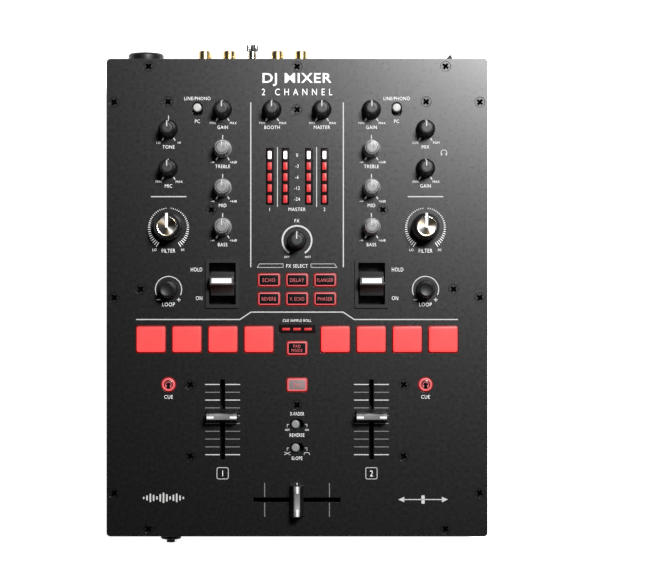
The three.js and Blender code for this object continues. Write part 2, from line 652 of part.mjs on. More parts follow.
function jackBoard() {
  const { left, right, front, bottom, thickness, legInset, gap } = JACK_BOARD;
  const rear = WALL_Y - SHEET - gap;
  const top = bottom + thickness;
  const floor = FOOT_HEIGHT + SHEET + GAP;
  const legs = [left + legInset, right - legInset].flatMap((x) => [front + legInset, rear - legInset].map((y) =>
    drum(STANDOFF_RADIUS, bottom - floor + OVERLAP, x, y, floor, POST_SIDES)));
  const inletZ = top + POWER_INLET.height / 2;
  const inletFace = WALL_Y - SHEET - GAP;
  const noseLength = WALL_Y + 2 * OVERLAP - inletFace;
  const noseMiddle = inletFace - OVERLAP + noseLength / 2;
  const added = [
    block(right - left, rear - front, thickness, (left + right) / 2, (front + rear) / 2, bottom),
    ...legs,
    ...RCA_COLUMNS.flatMap(rcaPieces),
    socketBlock(USB, inletFace),
    block(USB.width, noseLength, USB.height, USB.x, noseMiddle, top),
    socketBlock(POWER_INLET, inletFace),
    drumAlongY(POWER_INLET.nose, inletFace - OVERLAP, WALL_Y + OVERLAP, POWER_INLET.x, inletZ),
  ];
  const usbSocketBase = top + (USB.height - USB.socketHeight) / 2;
  const removed = [
    ...RCA_COLUMNS.flatMap((x) => RCA_LEVELS.map((z) =>
      drumAlongY(RCA_BORE, WALL_Y, WALL_Y + RCA_REACH + OVERLAP, x, z, POST_SIDES))),
    block(
      USB.socketWidth, USB.bore + CUT_PAST, USB.socketHeight,
      USB.x, WALL_Y + (CUT_PAST - USB.bore) / 2, usbSocketBase,
    ),
    drumAlongY(POWER_INLET.bore, WALL_Y - POWER_INLET.boreDepth, WALL_Y + CUT_PAST, POWER_INLET.x, inletZ),
  ];
  const pinFoot = WALL_Y - POWER_INLET.boreDepth - 2 * OVERLAP;
  const pinTip = WALL_Y - 2 * OVERLAP;
  const inletPin = drumAlongY(POWER_INLET.pin, pinFoot, pinTip, POWER_INLET.x, inletZ, POST_SIDES);
  const solid = build(added, removed).add(toSolid(inletPin));
  return part("jack_board", solid, MATERIALS.board);
}

// Turned about its own Z, which points out of the rear wall.
function micJack() {
  const { body, boss, depth, reach } = MIC;
  const { radius, face, grooveOuter, grooveFloor } = MIC_INSERT;
  const bossFoot = 2 * OVERLAP;
  const floor = JACK_FLOOR - depth;
  const shell = turned([
    [0, -depth], [body, -depth], [body, bossFoot], [boss, bossFoot],
    [boss, reach - MIC_CHAMFER], [boss - MIC_CHAMFER, reach],
    [grooveOuter, reach], [grooveOuter, grooveFloor], [radius, grooveFloor], [radius, face],
    [JACK_BORE, face], [JACK_BORE, floor], [0, floor],
  ], FINE_SIDES);
  const flangeHole = circlePoints(MIC_FLANGE.hole, 0, 0, FINE_SIDES);
  const flangeOutline = roundedPoints(MIC.flange, MIC_FLANGE.corner);
  const flange = slab(flangeOutline, MIC_FLANGE.thickness, GAP, [flangeHole]);
  const jack = part("mic_jack", build([shell, flange]), MATERIALS.socket, MIC.x, WALL_Y, MIC.z);
  jack.rotation.x = -QUARTER_TURN;
  return jack;
}

// Turned about its own Z, which points out of the front wall.
function phonesJack() {
  const { width, height, depth } = PHONES_BODY;
  const bodyTop = -SHEET - GAP;
  const pieces = [
    block(width, height, depth, 0, 0, bodyTop - depth),
    drum(PHONES.bushing, PHONES.reach - bodyTop + OVERLAP, 0, 0, bodyTop - OVERLAP),
    drum(PHONES.nut, PHONES.nutReach - GAP, 0, 0, GAP),
  ];
  const bore = drum(JACK_BORE, PHONES.reach + depth, 0, 0, JACK_FLOOR - depth);
  const jack = part("phones_jack", build(pieces, [bore]), MATERIALS.socket, PHONES.x, -WALL_Y, PHONES.z);
  jack.rotation.x = QUARTER_TURN;
  return jack;
}

function powerHousing() {
  const centreZ = (height) => -height / 2;
  const along = (size, from, to) =>
    block(size[0], to - from, size[1], 0, (from + to) / 2, centreZ(size[1]));
  const pieces = [
    along(POWER.bezel, GAP, POWER_DEPTH.bezel),
    along(POWER.body, -POWER_DEPTH.body, GAP + OVERLAP),
  ];
  const cuts = [
    along(POWER.cavity, -POWER_DEPTH.cavity, POWER_DEPTH.bezel + OVERLAP),
    drum(ROCKER_BORE, POWER.bezel[1], 0, ROCKER.pivot, -POWER.bezel[1] / 2),
  ];
  return part("power_switch_housing", build(pieces, cuts), MATERIALS.socket, POWER.x, WALL_Y, POWER.z);
}

// The rocker's section is an arc about its pivot with a raised ridge in the middle.
function powerRocker() {
  const arc = ROCKER_ARC.map(([degrees, radius]) => {
    const angle = THREE.MathUtils.degToRad(degrees);
    return new THREE.Vector2(radius * Math.sin(angle), radius * Math.cos(angle));
  });
  const outline = [...arc, ...ROCKER_FOOT.map(([x, y]) => new THREE.Vector2(x, y))];
  const body = slab(outline, ROCKER.height, -ROCKER.height / 2);
  const pinLength = POWER.body[1] - OVERLAP;
  const pins = drum(ROCKER_PIN, pinLength, 0, 0, -pinLength / 2);
  const mesh = part(
    "power_rocker", build([body, pins]), MATERIALS.socket, POWER.x, WALL_Y + ROCKER.pivot, POWER.z,
  );
  mesh.rotation.z = THREE.MathUtils.degToRad(ROCKER.tilt);
  return mesh;
}

function groundPiece(name, { bore, radius, from, to }) {
  const mesh = part(name, build([ring(bore, radius, from, to)]), MATERIALS.brass, GROUND_X, WALL_Y, GROUND_Z);
  mesh.rotation.x = -QUARTER_TURN;
  return mesh;
}

// ---------------------------------------------------------------- assembly

const casework = new THREE.Group();
casework.add(
  topPlate(),
  chassisTray(),
  crossfaderUnit(),
  jackBoard(),
  micJack(),
  phonesJack(),
  powerHousing(),
  powerRocker(),
  groundPiece("ground_washer", SLEEVE),
  groundPiece("ground_nut", NUT),
);

const controls = new THREE.Group();
controls.position.z = PLATE_TOP;
controls.add(
  controlBoard(),
  meterWindow(),
  ...KNOBS.map(([name, x, y, style]) => knob(name, x, y, style)),
  ...LOOPS.map(loopRotor),
  ...LOOPS.map(loopKnob),
  ...CUES.map(cueButton),
  ...PADS.map(([x, y], index) =>
    squareButton(`pad_${index + 1}`, PAD_SIZE, PAD_RISE, MATERIALS.pad, x, y)),
  ...FX_BUTTONS.map(([x, y], index) =>
    squareButton(`fx_button_${index + 1}`, FX_BUTTON_SIZE, BUTTON_RISE, MATERIALS.buttonRing, x, y)),
  squareButton("pad_mode_button", PAD_MODE_SIZE, BUTTON_RISE, MATERIALS.buttonRing, 0, PAD_MODE_Y),
  squareButton("tap_button", TAP_SIZE, BUTTON_RISE, MATERIALS.buttonGrey, 0, TAP_Y),
  ...FADERS.map(([x], side) => faderCap(x, side)),
  crossfaderCap(),
  ...INPUT_SWITCHES.map((place, side) =>
    slideSwitch(`input_switch_${side + 1}`, place, 0, SWITCH_TRAVEL / 2)),
  slideSwitch("reverse_switch", [0, REVERSE_Y], -SWITCH_TRAVEL / 2, 0),
  slideSwitch("slope_switch", [0, SLOPE_Y], -SWITCH_TRAVEL / 2, 0),
  ...PADDLES.map(paddle),
);

const mixer = new THREE.Group();
mixer.position.y = PANEL_Y;
mixer.add(casework, controls);

export default mixer;
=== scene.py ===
"""The looks of a two-channel DJ scratch mixer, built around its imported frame.

Shapes are drawn in millimetres on the panel: x and y from the middle of the top plate, z from its upper
face. TO_WORLD turns them into the frame's metres. Places come from the frame's own nodes.
"""

import json
import math

import bmesh
import bpy
from mathutils import Matrix, Vector

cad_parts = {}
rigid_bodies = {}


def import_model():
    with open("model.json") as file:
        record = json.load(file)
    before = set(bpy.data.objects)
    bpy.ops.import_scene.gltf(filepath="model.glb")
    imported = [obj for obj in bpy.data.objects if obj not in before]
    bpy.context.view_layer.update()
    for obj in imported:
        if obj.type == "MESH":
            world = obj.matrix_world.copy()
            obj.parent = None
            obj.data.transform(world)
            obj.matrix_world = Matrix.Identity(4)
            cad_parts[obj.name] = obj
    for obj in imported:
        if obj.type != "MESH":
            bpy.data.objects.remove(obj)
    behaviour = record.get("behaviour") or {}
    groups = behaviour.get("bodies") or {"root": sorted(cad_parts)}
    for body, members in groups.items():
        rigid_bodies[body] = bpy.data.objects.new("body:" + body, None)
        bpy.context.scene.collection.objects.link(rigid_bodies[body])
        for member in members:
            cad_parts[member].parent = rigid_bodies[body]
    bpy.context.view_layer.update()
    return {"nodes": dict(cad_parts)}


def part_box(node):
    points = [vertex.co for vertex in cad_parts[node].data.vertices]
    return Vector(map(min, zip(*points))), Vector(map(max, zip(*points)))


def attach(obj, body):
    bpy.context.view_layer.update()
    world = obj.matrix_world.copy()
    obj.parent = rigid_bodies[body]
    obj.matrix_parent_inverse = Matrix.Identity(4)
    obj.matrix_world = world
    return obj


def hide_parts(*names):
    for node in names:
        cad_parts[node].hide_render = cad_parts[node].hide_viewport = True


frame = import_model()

# ---- frame and panel

MM = 0.001
PLATE_THICKNESS = 2.0
PLATE_LOW, PLATE_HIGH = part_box("top_plate")
PANEL_Y = (PLATE_LOW.y + PLATE_HIGH.y) / 2 / MM
PANEL_Z = PLATE_LOW.z / MM + PLATE_THICKNESS
PLATE_WIDTH = (PLATE_HIGH.x - PLATE_LOW.x) / MM
PLATE_DEPTH = (PLATE_HIGH.y - PLATE_LOW.y) / MM
PLATE_CORNER = 2.5
TO_WORLD = Matrix.Translation((0, PANEL_Y * MM, PANEL_Z * MM)) @ Matrix.Scale(MM, 4)

# Printed ink: how far its underside clears the plate, and its thickness
INK_BASE = 0.01
INK = 0.05

# Lettering: the built-in font's capitals in its own units, then the capitals' heights in millimetres
CAP_HEIGHT = 0.72
END_LABEL = 1.6
FIGURE = 2.3
LABEL = 2.4
WIDE_LABEL = 2.7
WALL_LABEL = 2.6

# The paddles' pin, from the panel
PADDLE_CENTRE_Y = 9.3
PADDLE_PIVOT = -8.0

# Camera, straight above the panel: where it stands in millimetres, and its lens
CAMERA_X = 21.3
CAMERA_Y = 3.4
CAMERA_HEIGHT = 1300
FOCAL_LENGTH = 106.7
SENSOR = 36

# One soft light from the rear right (metres, watts), a dim room and a floor that stays white
KEY_PLACE = (0.385, 0.575, 1.35)
KEY_TARGET = (0.05, 0.08, 0.09)
KEY_SIZE = 0.34
KEY_POWER = 30
ROOM_STRENGTH = 0.014
FLOOR_HALF = 4000
FLOOR_GLOW = 1.2

QUARTER = math.pi / 2


def centre(node):
    """The middle of a CAD node on the panel, in millimetres."""
    low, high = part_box(node)
    return (low.x + high.x) / 2 / MM, (low.y + high.y) / 2 / MM - PANEL_Y


def height(node):
    """The top of a CAD node above the panel, in millimetres."""
    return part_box(node)[1].z / MM - PANEL_Z


# ---- outlines

def circle(radius, x=0.0, y=0.0, sides=32):
    return [(x + radius * math.cos(2 * math.pi * i / sides), y + radius * math.sin(2 * math.pi * i / sides))
            for i in range(sides)]


def rounded(width, depth, corner, x=0.0, y=0.0, steps=4):
    """A rectangle with round corners, anticlockwise."""
    corner = max(corner, 0.02)
    points = []
    for quarter, (sx, sy) in enumerate(((1, 1), (-1, 1), (-1, -1), (1, -1))):
        for step in range(steps + 1):
            angle = (quarter + step / steps) * QUARTER
            points.append((x + sx * (width / 2 - corner) + corner * math.cos(angle),
                           y + sy * (depth / 2 - corner) + corner * math.sin(angle)))
    return points


def stadium(width, depth, x=0.0, y=0.0, steps=8):
    return rounded(width, depth, min(width, depth) / 2 - 0.02, x, y, steps)


def arc_band(inner, outer, start, end, x=0.0, y=0.0, steps=40):
    """A band round (x, y). Angles are in degrees clockwise from the rear."""
    def point(radius, degrees):
        turn = math.radians(degrees)
        return x + radius * math.sin(turn), y + radius * math.cos(turn)
    angles = [start + (end - start) * i / steps for i in range(steps + 1)]
    return [point(outer, a) for a in angles] + [point(inner, a) for a in reversed(angles)]


def tick(inner, outer, degrees, width, x=0.0, y=0.0):
    """A radial mark, degrees clockwise from the rear."""
    turn = math.radians(degrees)
    along, across = (math.sin(turn), math.cos(turn)), (math.cos(turn), -math.sin(turn))
    half = width / 2
    return [(x + along[0] * r + across[0] * s, y + along[1] * r + across[1] * s)
            for r, s in ((inner, -half), (outer, -half), (outer, half), (inner, half))]


def bar(x0, y0, x1, y1):
    return [(x0, y0), (x1, y0), (x1, y1), (x0, y1)]


def stroke(points, width):
    """A line of even width through a few points, as one outline."""
    half, left, right = width / 2, [], []
    for i, point in enumerate(points):
        before = Vector(points[max(i - 1, 0)])
        after = Vector(points[min(i + 1, len(points) - 1)])
        here = Vector(point)
        ways = [w.normalized() for w in (here - before, after - here) if w.length > 0]
        way = sum(ways, Vector((0, 0))).normalized()
        normal = Vector((-way.y, way.x))
        reach = half / max(normal.dot(Vector((-ways[0].y, ways[0].x))), 0.3)
        left.append(tuple(here + normal * reach))
        right.append(tuple(here - normal * reach))
    return left + right[::-1]


# ---- solids

def ring_verts(bm, outline, z):
    return [bm.verts.new((x, y, z)) for x, y in outline]


def bridge(bm, lower, upper):
    count = len(lower)
    for i in range(count):
        j = (i + 1) % count
        bm.faces.new((lower[i], lower[j], upper[j], upper[i]))


def skin(bm, rows):
    """Closes a stack of equal rows of points into a solid."""
    rows = [[bm.verts.new(point) for point in row] for row in rows]
    for before, after in zip(rows, rows[1:]):
        bridge(bm, before, after)
    bm.faces.new(rows[0][::-1])
    bm.faces.new(rows[-1])


def loft(bm, rings):
    """Closes a stack of (outline, z) rings of equal length into a solid."""
    skin(bm, [[(x, y, z) for x, y in outline] for outline, z in rings])


def prism(bm, outline, low, high):
    loft(bm, [(outline, low), (outline, high)])


def edge_steps(radius, steps=4):
    """(inset, drop) pairs of a rounded edge, from its side up to its top."""
    return [(radius * (1 - math.cos(a)), radius * (1 - math.sin(a)))
            for a in (QUARTER * i / steps for i in range(steps + 1))]


def soft_block(bm, width, depth, corner, bottom, top, edge=0.4, x=0.0, y=0.0, crown=0.0):
    """A block with round corners and a rounded upper edge. A crown domes its top."""
    rings = [(rounded(width, depth, corner, x, y), bottom)]
    for inset, drop in edge_steps(edge):
        rings.append((rounded(width - 2 * inset, depth - 2 * inset, corner - inset, x, y), top - drop))
    if crown:
        for share in (0.85, 0.6, 0.3):
            outline = rounded((width - 2 * edge) * share, (depth - 2 * edge) * share, corner * share, x, y)
            rings.append((outline, top + crown * (1 - share ** 2)))
    loft(bm, rings)


def sheet(bm, outline, holes, bottom, top):
    """A flat plate with holes."""
    edges = []
    for loop in [outline, *holes]:
        verts = ring_verts(bm, loop, bottom)
        edges += [bm.edges.new((verts[i], verts[(i + 1) % len(verts)])) for i in range(len(verts))]
    filled = bmesh.ops.triangle_fill(bm, use_beauty=True, use_dissolve=False, edges=edges)
    faces = [item for item in filled["geom"] if isinstance(item, bmesh.types.BMFace)]
    raised = bmesh.ops.extrude_face_region(bm, geom=faces)
    verts = [item for item in raised["geom"] if isinstance(item, bmesh.types.BMVert)]
    bmesh.ops.translate(bm, verts=verts, vec=(0, 0, top - bottom))


def lathe(bm, profile, sides=48, x=0.0, y=0.0, flutes=0, depth=0.0):
    """Turns (radius, z) or (radius, z, flute share) points about the vertical through (x, y).
    A profile that ends where it began makes a ring."""
    rows = []
    for radius, z, *share in profile:
        if radius < 1e-6:
            rows.append([bm.verts.new((x, y, z))])
            continue
        cut = depth * (share[0] if share else 0)
        row = []
        for i in range(sides):
            angle = 2 * math.pi * i / sides
            here = radius - cut * (0.5 + 0.5 * math.cos(flutes * angle)) if flutes else radius
            row.append(bm.verts.new((x + here * math.cos(angle), y + here * math.sin(angle), z)))
        rows.append(row)
    if profile[0] == profile[-1]:
        for vert in rows[-1]:
            bm.verts.remove(vert)
        rows[-1] = rows[0]
    for lower, upper in zip(rows, rows[1:]):
        for i in range(sides):
            j = (i + 1) % sides
            corners = [lower[i % len(lower)], lower[j % len(lower)],
                       upper[j % len(upper)], upper[i % len(upper)]]
            unique = list(dict.fromkeys(corners))
            if len(unique) > 2:
                bm.faces.new(unique)


def fillet(points, radius, steps=3):
    """Rounds every corner of an open profile but its two ends."""
    result = [tuple(points[0])]
    for before, here, after in zip(points, points[1:], points[2:]):
        a, b, c = Vector(before), Vector(here), Vector(after)
        reach = min(radius, (a - b).length * 0.45, (c - b).length * 0.45)
        start, end = b + (a - b).normalized() * reach, b + (c - b).normalized() * reach
        for i in range(steps + 1):
            t = i / steps
            point = start * (1 - t) ** 2 + b * 2 * t * (1 - t) + end * t ** 2
            result.append((point.x, point.y))
    result.append(tuple(points[-1]))
    return result


def new_shape():
    return bmesh.new()


def turn_shape(bm, axis, degrees, place=(0, 0, 0)):
    """Turns everything in bm about the origin, then moves it to place."""
    matrix = Matrix.Translation(place) @ Matrix.Rotation(math.radians(degrees), 4, axis)
    bmesh.ops.transform(bm, matrix=matrix, verts=bm.verts)


def shift(bm, place):
    bmesh.ops.translate(bm, verts=bm.verts, vec=place)


def closed(profile):
    return [*profile, profile[0]]


def piece(name, bm, material, body, replaces=(), bevel=0.0):
    """Finishes a shape as a named piece that rides on a body."""
    bmesh.ops.transform(bm, matrix=TO_WORLD, verts=bm.verts)
    bmesh.ops.recalc_face_normals(bm, faces=bm.faces)
    mesh = bpy.data.meshes.new(name)
    bm.to_mesh(mesh)
    bm.free()
    mesh.shade_smooth()
    mesh.set_sharp_from_angle(angle=math.radians(35))
    mesh.materials.append(material)
    obj = bpy.data.objects.new(name, mesh)
    bpy.context.scene.collection.objects.link(obj)
    if bevel:
        rounding = obj.modifiers.new("edge", "BEVEL")
        rounding.width = bevel * MM
        rounding.segments = 2
        rounding.limit_method = "ANGLE"
        rounding.angle_limit = math.radians(50)
        rounding.harden_normals = True
    if replaces:
        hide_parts(*replaces)
    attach(obj, body)
    return obj


def fixed(name, bm, material, replaces=(), bevel=0.0):
    return piece(name, bm, material, "chassis", replaces, bevel)


def moving(node_name, suffix, bm, material, bevel=0.0):
    """A piece that stands for the moving node it is named after."""
    return piece(f"{node_name}_{suffix}", bm, material, node_name, [node_name], bevel)


# ---- lettering

def letters(text, cap, width=None, condense=0.86, spacing=1.1, bold=-0.006):
    """A bmesh of the words, centred on the origin, cap millimetres high."""
    curve = bpy.data.curves.new("letters", "FONT")
    curve.body = text
    curve.space_character = spacing
    curve.offset = bold
    curve.resolution_u = 3
    curve.extrude = 0.5
    holder = bpy.data.objects.new("letters", curve)
    bpy.context.scene.collection.objects.link(holder)
    bpy.context.view_layer.update()
    mesh = bpy.data.meshes.new_from_object(holder)
    bpy.data.objects.remove(holder)
    bm = new_shape()
    bm.from_mesh(mesh)
    bpy.data.meshes.remove(mesh)
    bmesh.ops.remove_doubles(bm, verts=bm.verts, dist=1e-4)
    xs = [v.co.x for v in bm.verts]
    scale = cap / CAP_HEIGHT
    scale_x = width / (max(xs) - min(xs)) if width else scale * condense
    middle = (max(xs) + min(xs)) / 2
    for vert in bm.verts:
        vert.co = ((vert.co.x - middle) * scale_x, vert.co.y * scale - cap / 2,
                   INK_BASE + (vert.co.z + 0.5) * INK)
    return bm


def merge(target, source, x=0.0, y=0.0, z=0.0):
    """Moves source to (x, y, z) and adds it to target."""
    bmesh.ops.translate(source, verts=source.verts, vec=(x, y, z))
    mesh = bpy.data.meshes.new("merge")
    source.to_mesh(mesh)
    source.free()
    target.from_mesh(mesh)
    bpy.data.meshes.remove(mesh)


def write(target, text, x, y, cap, z=0.0, **style):
    merge(target, letters(text, cap, **style), x, y, z)


def ink(target, outline, z=0.0, thickness=INK):
    sheet(target, outline, [], z + INK_BASE, z + INK_BASE + thickness)


def ink_frame(target, width, depth, corner, line, x, y):
    hole = rounded(width - 2 * line, depth - 2 * line, corner - line, x, y)
    sheet(target, rounded(width, depth, corner, x, y), [hole], INK_BASE, INK_BASE + INK)


# ---- materials

# A colour mix node's sockets share their names with its other types, so they are named here by place
MIX_FACTOR, MIX_A, MIX_B, MIX_RESULT = 0, 6, 7, 2


def node(tree, kind, **values):
    """A new shader node. Each value sets the node's own property, or else the input of that name."""
    made = tree.nodes.new(kind)
    for key, value in values.items():
        if hasattr(made, key):
            setattr(made, key, value)
        else:
            made.inputs[key.replace("_", " ")].default_value = value
    return made


def wander(tree, factor, color, mottle, target):
    """Feeds target a colour that wanders by mottle either way of color."""
    mix = node(tree, "ShaderNodeMix", data_type="RGBA")
    mix.inputs[MIX_A].default_value = (*[c * (1 - mottle) for c in color], 1)
    mix.inputs[MIX_B].default_value = (*[c * (1 + mottle) for c in color], 1)
    tree.links.new(factor, mix.inputs[MIX_FACTOR])
    tree.links.new(mix.outputs[MIX_RESULT], target)


def finish(name, color, roughness, metallic=0.0, grain=0.3, relief=0.004, mottle=0.15, specular=0.5,
           glow=0.0, glow_color=None, stretch=(1, 1, 1), vary=0.12):
    """A surface with fine grain in its relief, and slow variation in its colour and gloss.
    Grain and relief are in millimetres."""
    made = bpy.data.materials.new(name)
    made.use_nodes = True
    tree = made.node_tree
    shader = tree.nodes["Principled BSDF"]
    shader.inputs["Metallic"].default_value = metallic
    shader.inputs["Specular IOR Level"].default_value = specular
    place = node(tree, "ShaderNodeTexCoord")
    mapping = node(tree, "ShaderNodeMapping", Scale=stretch)
    tree.links.new(place.outputs["Object"], mapping.inputs["Vector"])
    fine = node(tree, "ShaderNodeTexNoise", Scale=1 / (grain * MM), Detail=3.0, Roughness=0.6)
    slow = node(tree, "ShaderNodeTexNoise", Scale=1 / (grain * 5 * MM), Detail=4.0, Roughness=0.65)
    for noise in (fine, slow):
        tree.links.new(mapping.outputs["Vector"], noise.inputs["Vector"])
    blend = node(tree, "ShaderNodeMath", operation="ADD")
    tree.links.new(fine.outputs["Fac"], blend.inputs[0])
    tree.links.new(slow.outputs["Fac"], blend.inputs[1])
    ramp = node(tree, "ShaderNodeMapRange", From_Min=0.7, From_Max=1.3)
    tree.links.new(blend.outputs[0], ramp.inputs["Value"])
    wander(tree, ramp.outputs["Result"], color, mottle, shader.inputs["Base Color"])
    gloss = node(tree, "ShaderNodeMapRange",
                 To_Min=roughness * (1 - vary), To_Max=min(roughness * (1 + vary), 1))
    tree.links.new(slow.outputs["Fac"], gloss.inputs["Value"])
    tree.links.new(gloss.outputs["Result"], shader.inputs["Roughness"])
    bump = node(tree, "ShaderNodeBump", Strength=1.0, Distance=relief * MM)
    tree.links.new(fine.outputs["Fac"], bump.inputs["Height"])
    tree.links.new(bump.outputs["Normal"], shader.inputs["Normal"])
    # A glow adds emitted light: the lamps behind the lit pads, buttons and meters, the floor's even white,
    # and painted light on the inks and white plastic.
    if glow:
        wander(tree, ramp.outputs["Result"], glow_color or color, mottle, shader.inputs["Emission Color"])
        shader.inputs["Emission Strength"].default_value = glow
    return made


def spun_metal(name):
    """Turned aluminium, with three bright and three warm sectors that sweep round the centre: a painted
    reflection, bright where the turned grain would catch the light and darker between.
    """
    highlight_sweeps = 3
    made = finish(name, (0.80, 0.74, 0.64), 0.24, metallic=1.0, grain=0.3, relief=0.004, mottle=0.05)
    tree = made.node_tree
    shader = tree.nodes["Principled BSDF"]
    shader.inputs["Anisotropic"].default_value = 0.75
    place = node(tree, "ShaderNodeTexCoord")
    angle = node(tree, "ShaderNodeTexGradient", gradient_type="RADIAL")
    tree.links.new(place.outputs["Object"], angle.inputs["Vector"])
    wave = node(tree, "ShaderNodeMath", operation="MULTIPLY")
    wave.inputs[1].default_value = 2 * math.pi * highlight_sweeps
    tree.links.new(angle.outputs["Fac"], wave.inputs[0])
    swing = node(tree, "ShaderNodeMath", operation="SINE")
    tree.links.new(wave.outputs[0], swing.inputs[0])
    ramp = node(tree, "ShaderNodeValToRGB")
    warm, bright = ramp.color_ramp.elements
    warm.position, warm.color = 0.15, (0.40, 0.33, 0.23, 1)
    bright.position, bright.color = 0.8, (0.95, 0.93, 0.88, 1)
    lift = node(tree, "ShaderNodeMapRange", From_Min=-1)
    tree.links.new(swing.outputs[0], lift.inputs["Value"])
    tree.links.new(lift.outputs["Result"], ramp.inputs["Fac"])
    tree.links.new(ramp.outputs["Color"], shader.inputs["Base Color"])
    return made


PANEL = finish("powder_coat_panel", (0.0016, 0.0016, 0.0017), 0.288, grain=0.5, relief=0.014, mottle=0.5,
               specular=0.85, vary=0.2)
CASE = finish("powder_coat_case", (0.009, 0.009, 0.0095), 0.5, grain=0.5, relief=0.04, mottle=0.3)
BLACK_PLASTIC = finish("moulded_black", (0.006, 0.006, 0.0065), 0.44, grain=0.25, relief=0.006, mottle=0.2,
                       specular=0.35)
KNOB_TOP = finish("knob_top_black", (0.014, 0.014, 0.0145), 0.45, grain=0.2)
GLOSS_BLACK = finish("gloss_black", (0.006, 0.006, 0.007), 0.16, grain=0.8, relief=0.002, mottle=0.2)
# Near-black without gloss: the mic insert's own colour, and painted shade in the knob grooves and the screw
# recesses.
DEEP_BLACK = finish("deep_black", (0.0008, 0.0008, 0.0008), 0.8, grain=0.5, relief=0.01, specular=0.0)
SILVER = finish("silver_paint", (0.40, 0.40, 0.40), 0.30, metallic=0.15, grain=0.15, relief=0.003)
SILVER_TOP = finish("silver_top", (0.21, 0.21, 0.21), 0.42, metallic=0.3, grain=0.15, relief=0.003)
# The inks glow a little: painted light that makes the print read brighter, with no lamp behind it.
WHITE_INK = finish("white_ink_painted_glow", (0.44, 0.44, 0.435), 0.5, mottle=0.05, glow=0.35)
# This white glows as painted light. It also draws the painted glints on the fader ends and the painted
# highlight on the paddle tips.
WORD_INK_AND_GLINTS = finish("word_ink_and_glints_painted_glow", (0.60, 0.60, 0.595), 0.5, mottle=0.05, glow=1.0)
GREY_INK = finish("grey_ink_painted_glow", (0.17, 0.17, 0.17), 0.5, mottle=0.08, glow=0.12)
# White plastic glows a little: painted light, with no lamp behind it.
WHITE_PLASTIC = finish("white_plastic_painted_glow", (0.45, 0.45, 0.445), 0.32, relief=0.003, mottle=0.05, glow=0.12)
SWITCH_GREY = finish("switch_grey", (0.25, 0.25, 0.24), 0.35, relief=0.003, mottle=0.06)
SCREW_BLACK = finish("black_oxide", (0.004, 0.004, 0.0042), 0.36, grain=0.2, specular=0.4)
PAD_RED = finish("lit_pad", (0.50, 0.02, 0.02), 0.35, grain=4.0, relief=0.01, mottle=0.05, glow=0.86,
                 glow_color=(1.0, 0.075, 0.075))
RING_RED = finish("lit_ring", (0.22, 0.03, 0.035), 0.35, grain=1.5, relief=0.01, mottle=0.06, glow=0.66,
                  glow_color=(1.0, 0.17, 0.18))
RIM_RED = finish("rim_glow", (0.05, 0.002, 0.002), 0.4, grain=1.5, relief=0.01, mottle=0.1, glow=0.34,
                 glow_color=(0.45, 0.008, 0.010))
TEXT_RED = finish("lit_text", (0.22, 0.05, 0.055), 0.4, grain=0.5, relief=0.003, mottle=0.06, glow=0.6,
                  glow_color=(1.0, 0.16, 0.17))
LED_RED = finish("led_red", (0.10, 0.01, 0.01), 0.3, grain=1.0, mottle=0.08, glow=0.66,
                 glow_color=(1.0, 0.045, 0.05))
LED_WHITE = finish("led_white", (0.95, 0.95, 0.95), 0.3, grain=1.0, mottle=0.03, glow=1.2)
LENS = finish("smoked_lens", (0.012, 0.006, 0.006), 0.12, grain=1.0, relief=0.001, mottle=0.2)
TAP_GREY = finish("tap_lens", (0.18, 0.13, 0.13), 0.35, grain=0.8, relief=0.003, mottle=0.06, glow=0.12,
                  glow_color=(0.55, 0.40, 0.41))
FILTER_FACE = spun_metal("spun_aluminium_painted_sweeps")
GOLD = finish("gold_plate", (0.56, 0.44, 0.22), 0.3, metallic=1.0, relief=0.002, mottle=0.06)
NICKEL = finish("nickel_plate", (0.66, 0.65, 0.62), 0.22, metallic=1.0, relief=0.002)
STEEL = finish("zinc_steel", (0.55, 0.56, 0.57), 0.34, metallic=1.0, grain=0.6, stretch=(1, 6, 1))
# Steel painted near-black so the stems and rods seen through the slots read as the slots' shade.
SLOT_SHADE_STEEL = finish("steel_painted_slot_shade", (0.035, 0.035, 0.036), 0.5, metallic=0.8, grain=0.6)
BOARD = finish("solder_mask", (0.004, 0.016, 0.009), 0.35, grain=1.2, relief=0.01, mottle=0.25)
RUBBER = finish("rubber", (0.016, 0.016, 0.017), 0.78, grain=0.4, relief=0.03, mottle=0.2)
FADER_BLACK = finish("fader_satin", (0.005, 0.005, 0.005), 0.5, mottle=0.12)
# A lighter grey for the fader ridges: painted sheen.
RIDGE_SHEEN_GREY = finish("fader_ridge_painted_sheen", (0.19, 0.19, 0.192), 0.5, grain=0.2, relief=0.003, mottle=0.1)
PADDLE_METAL = finish("paddle_metal", (0.09, 0.09, 0.092), 0.36, metallic=0.35, grain=0.5, mottle=0.1)
RED_PLASTIC = finish("red_plastic", (0.45, 0.02, 0.02), 0.35, relief=0.003)

# ---- layout, read from the frame

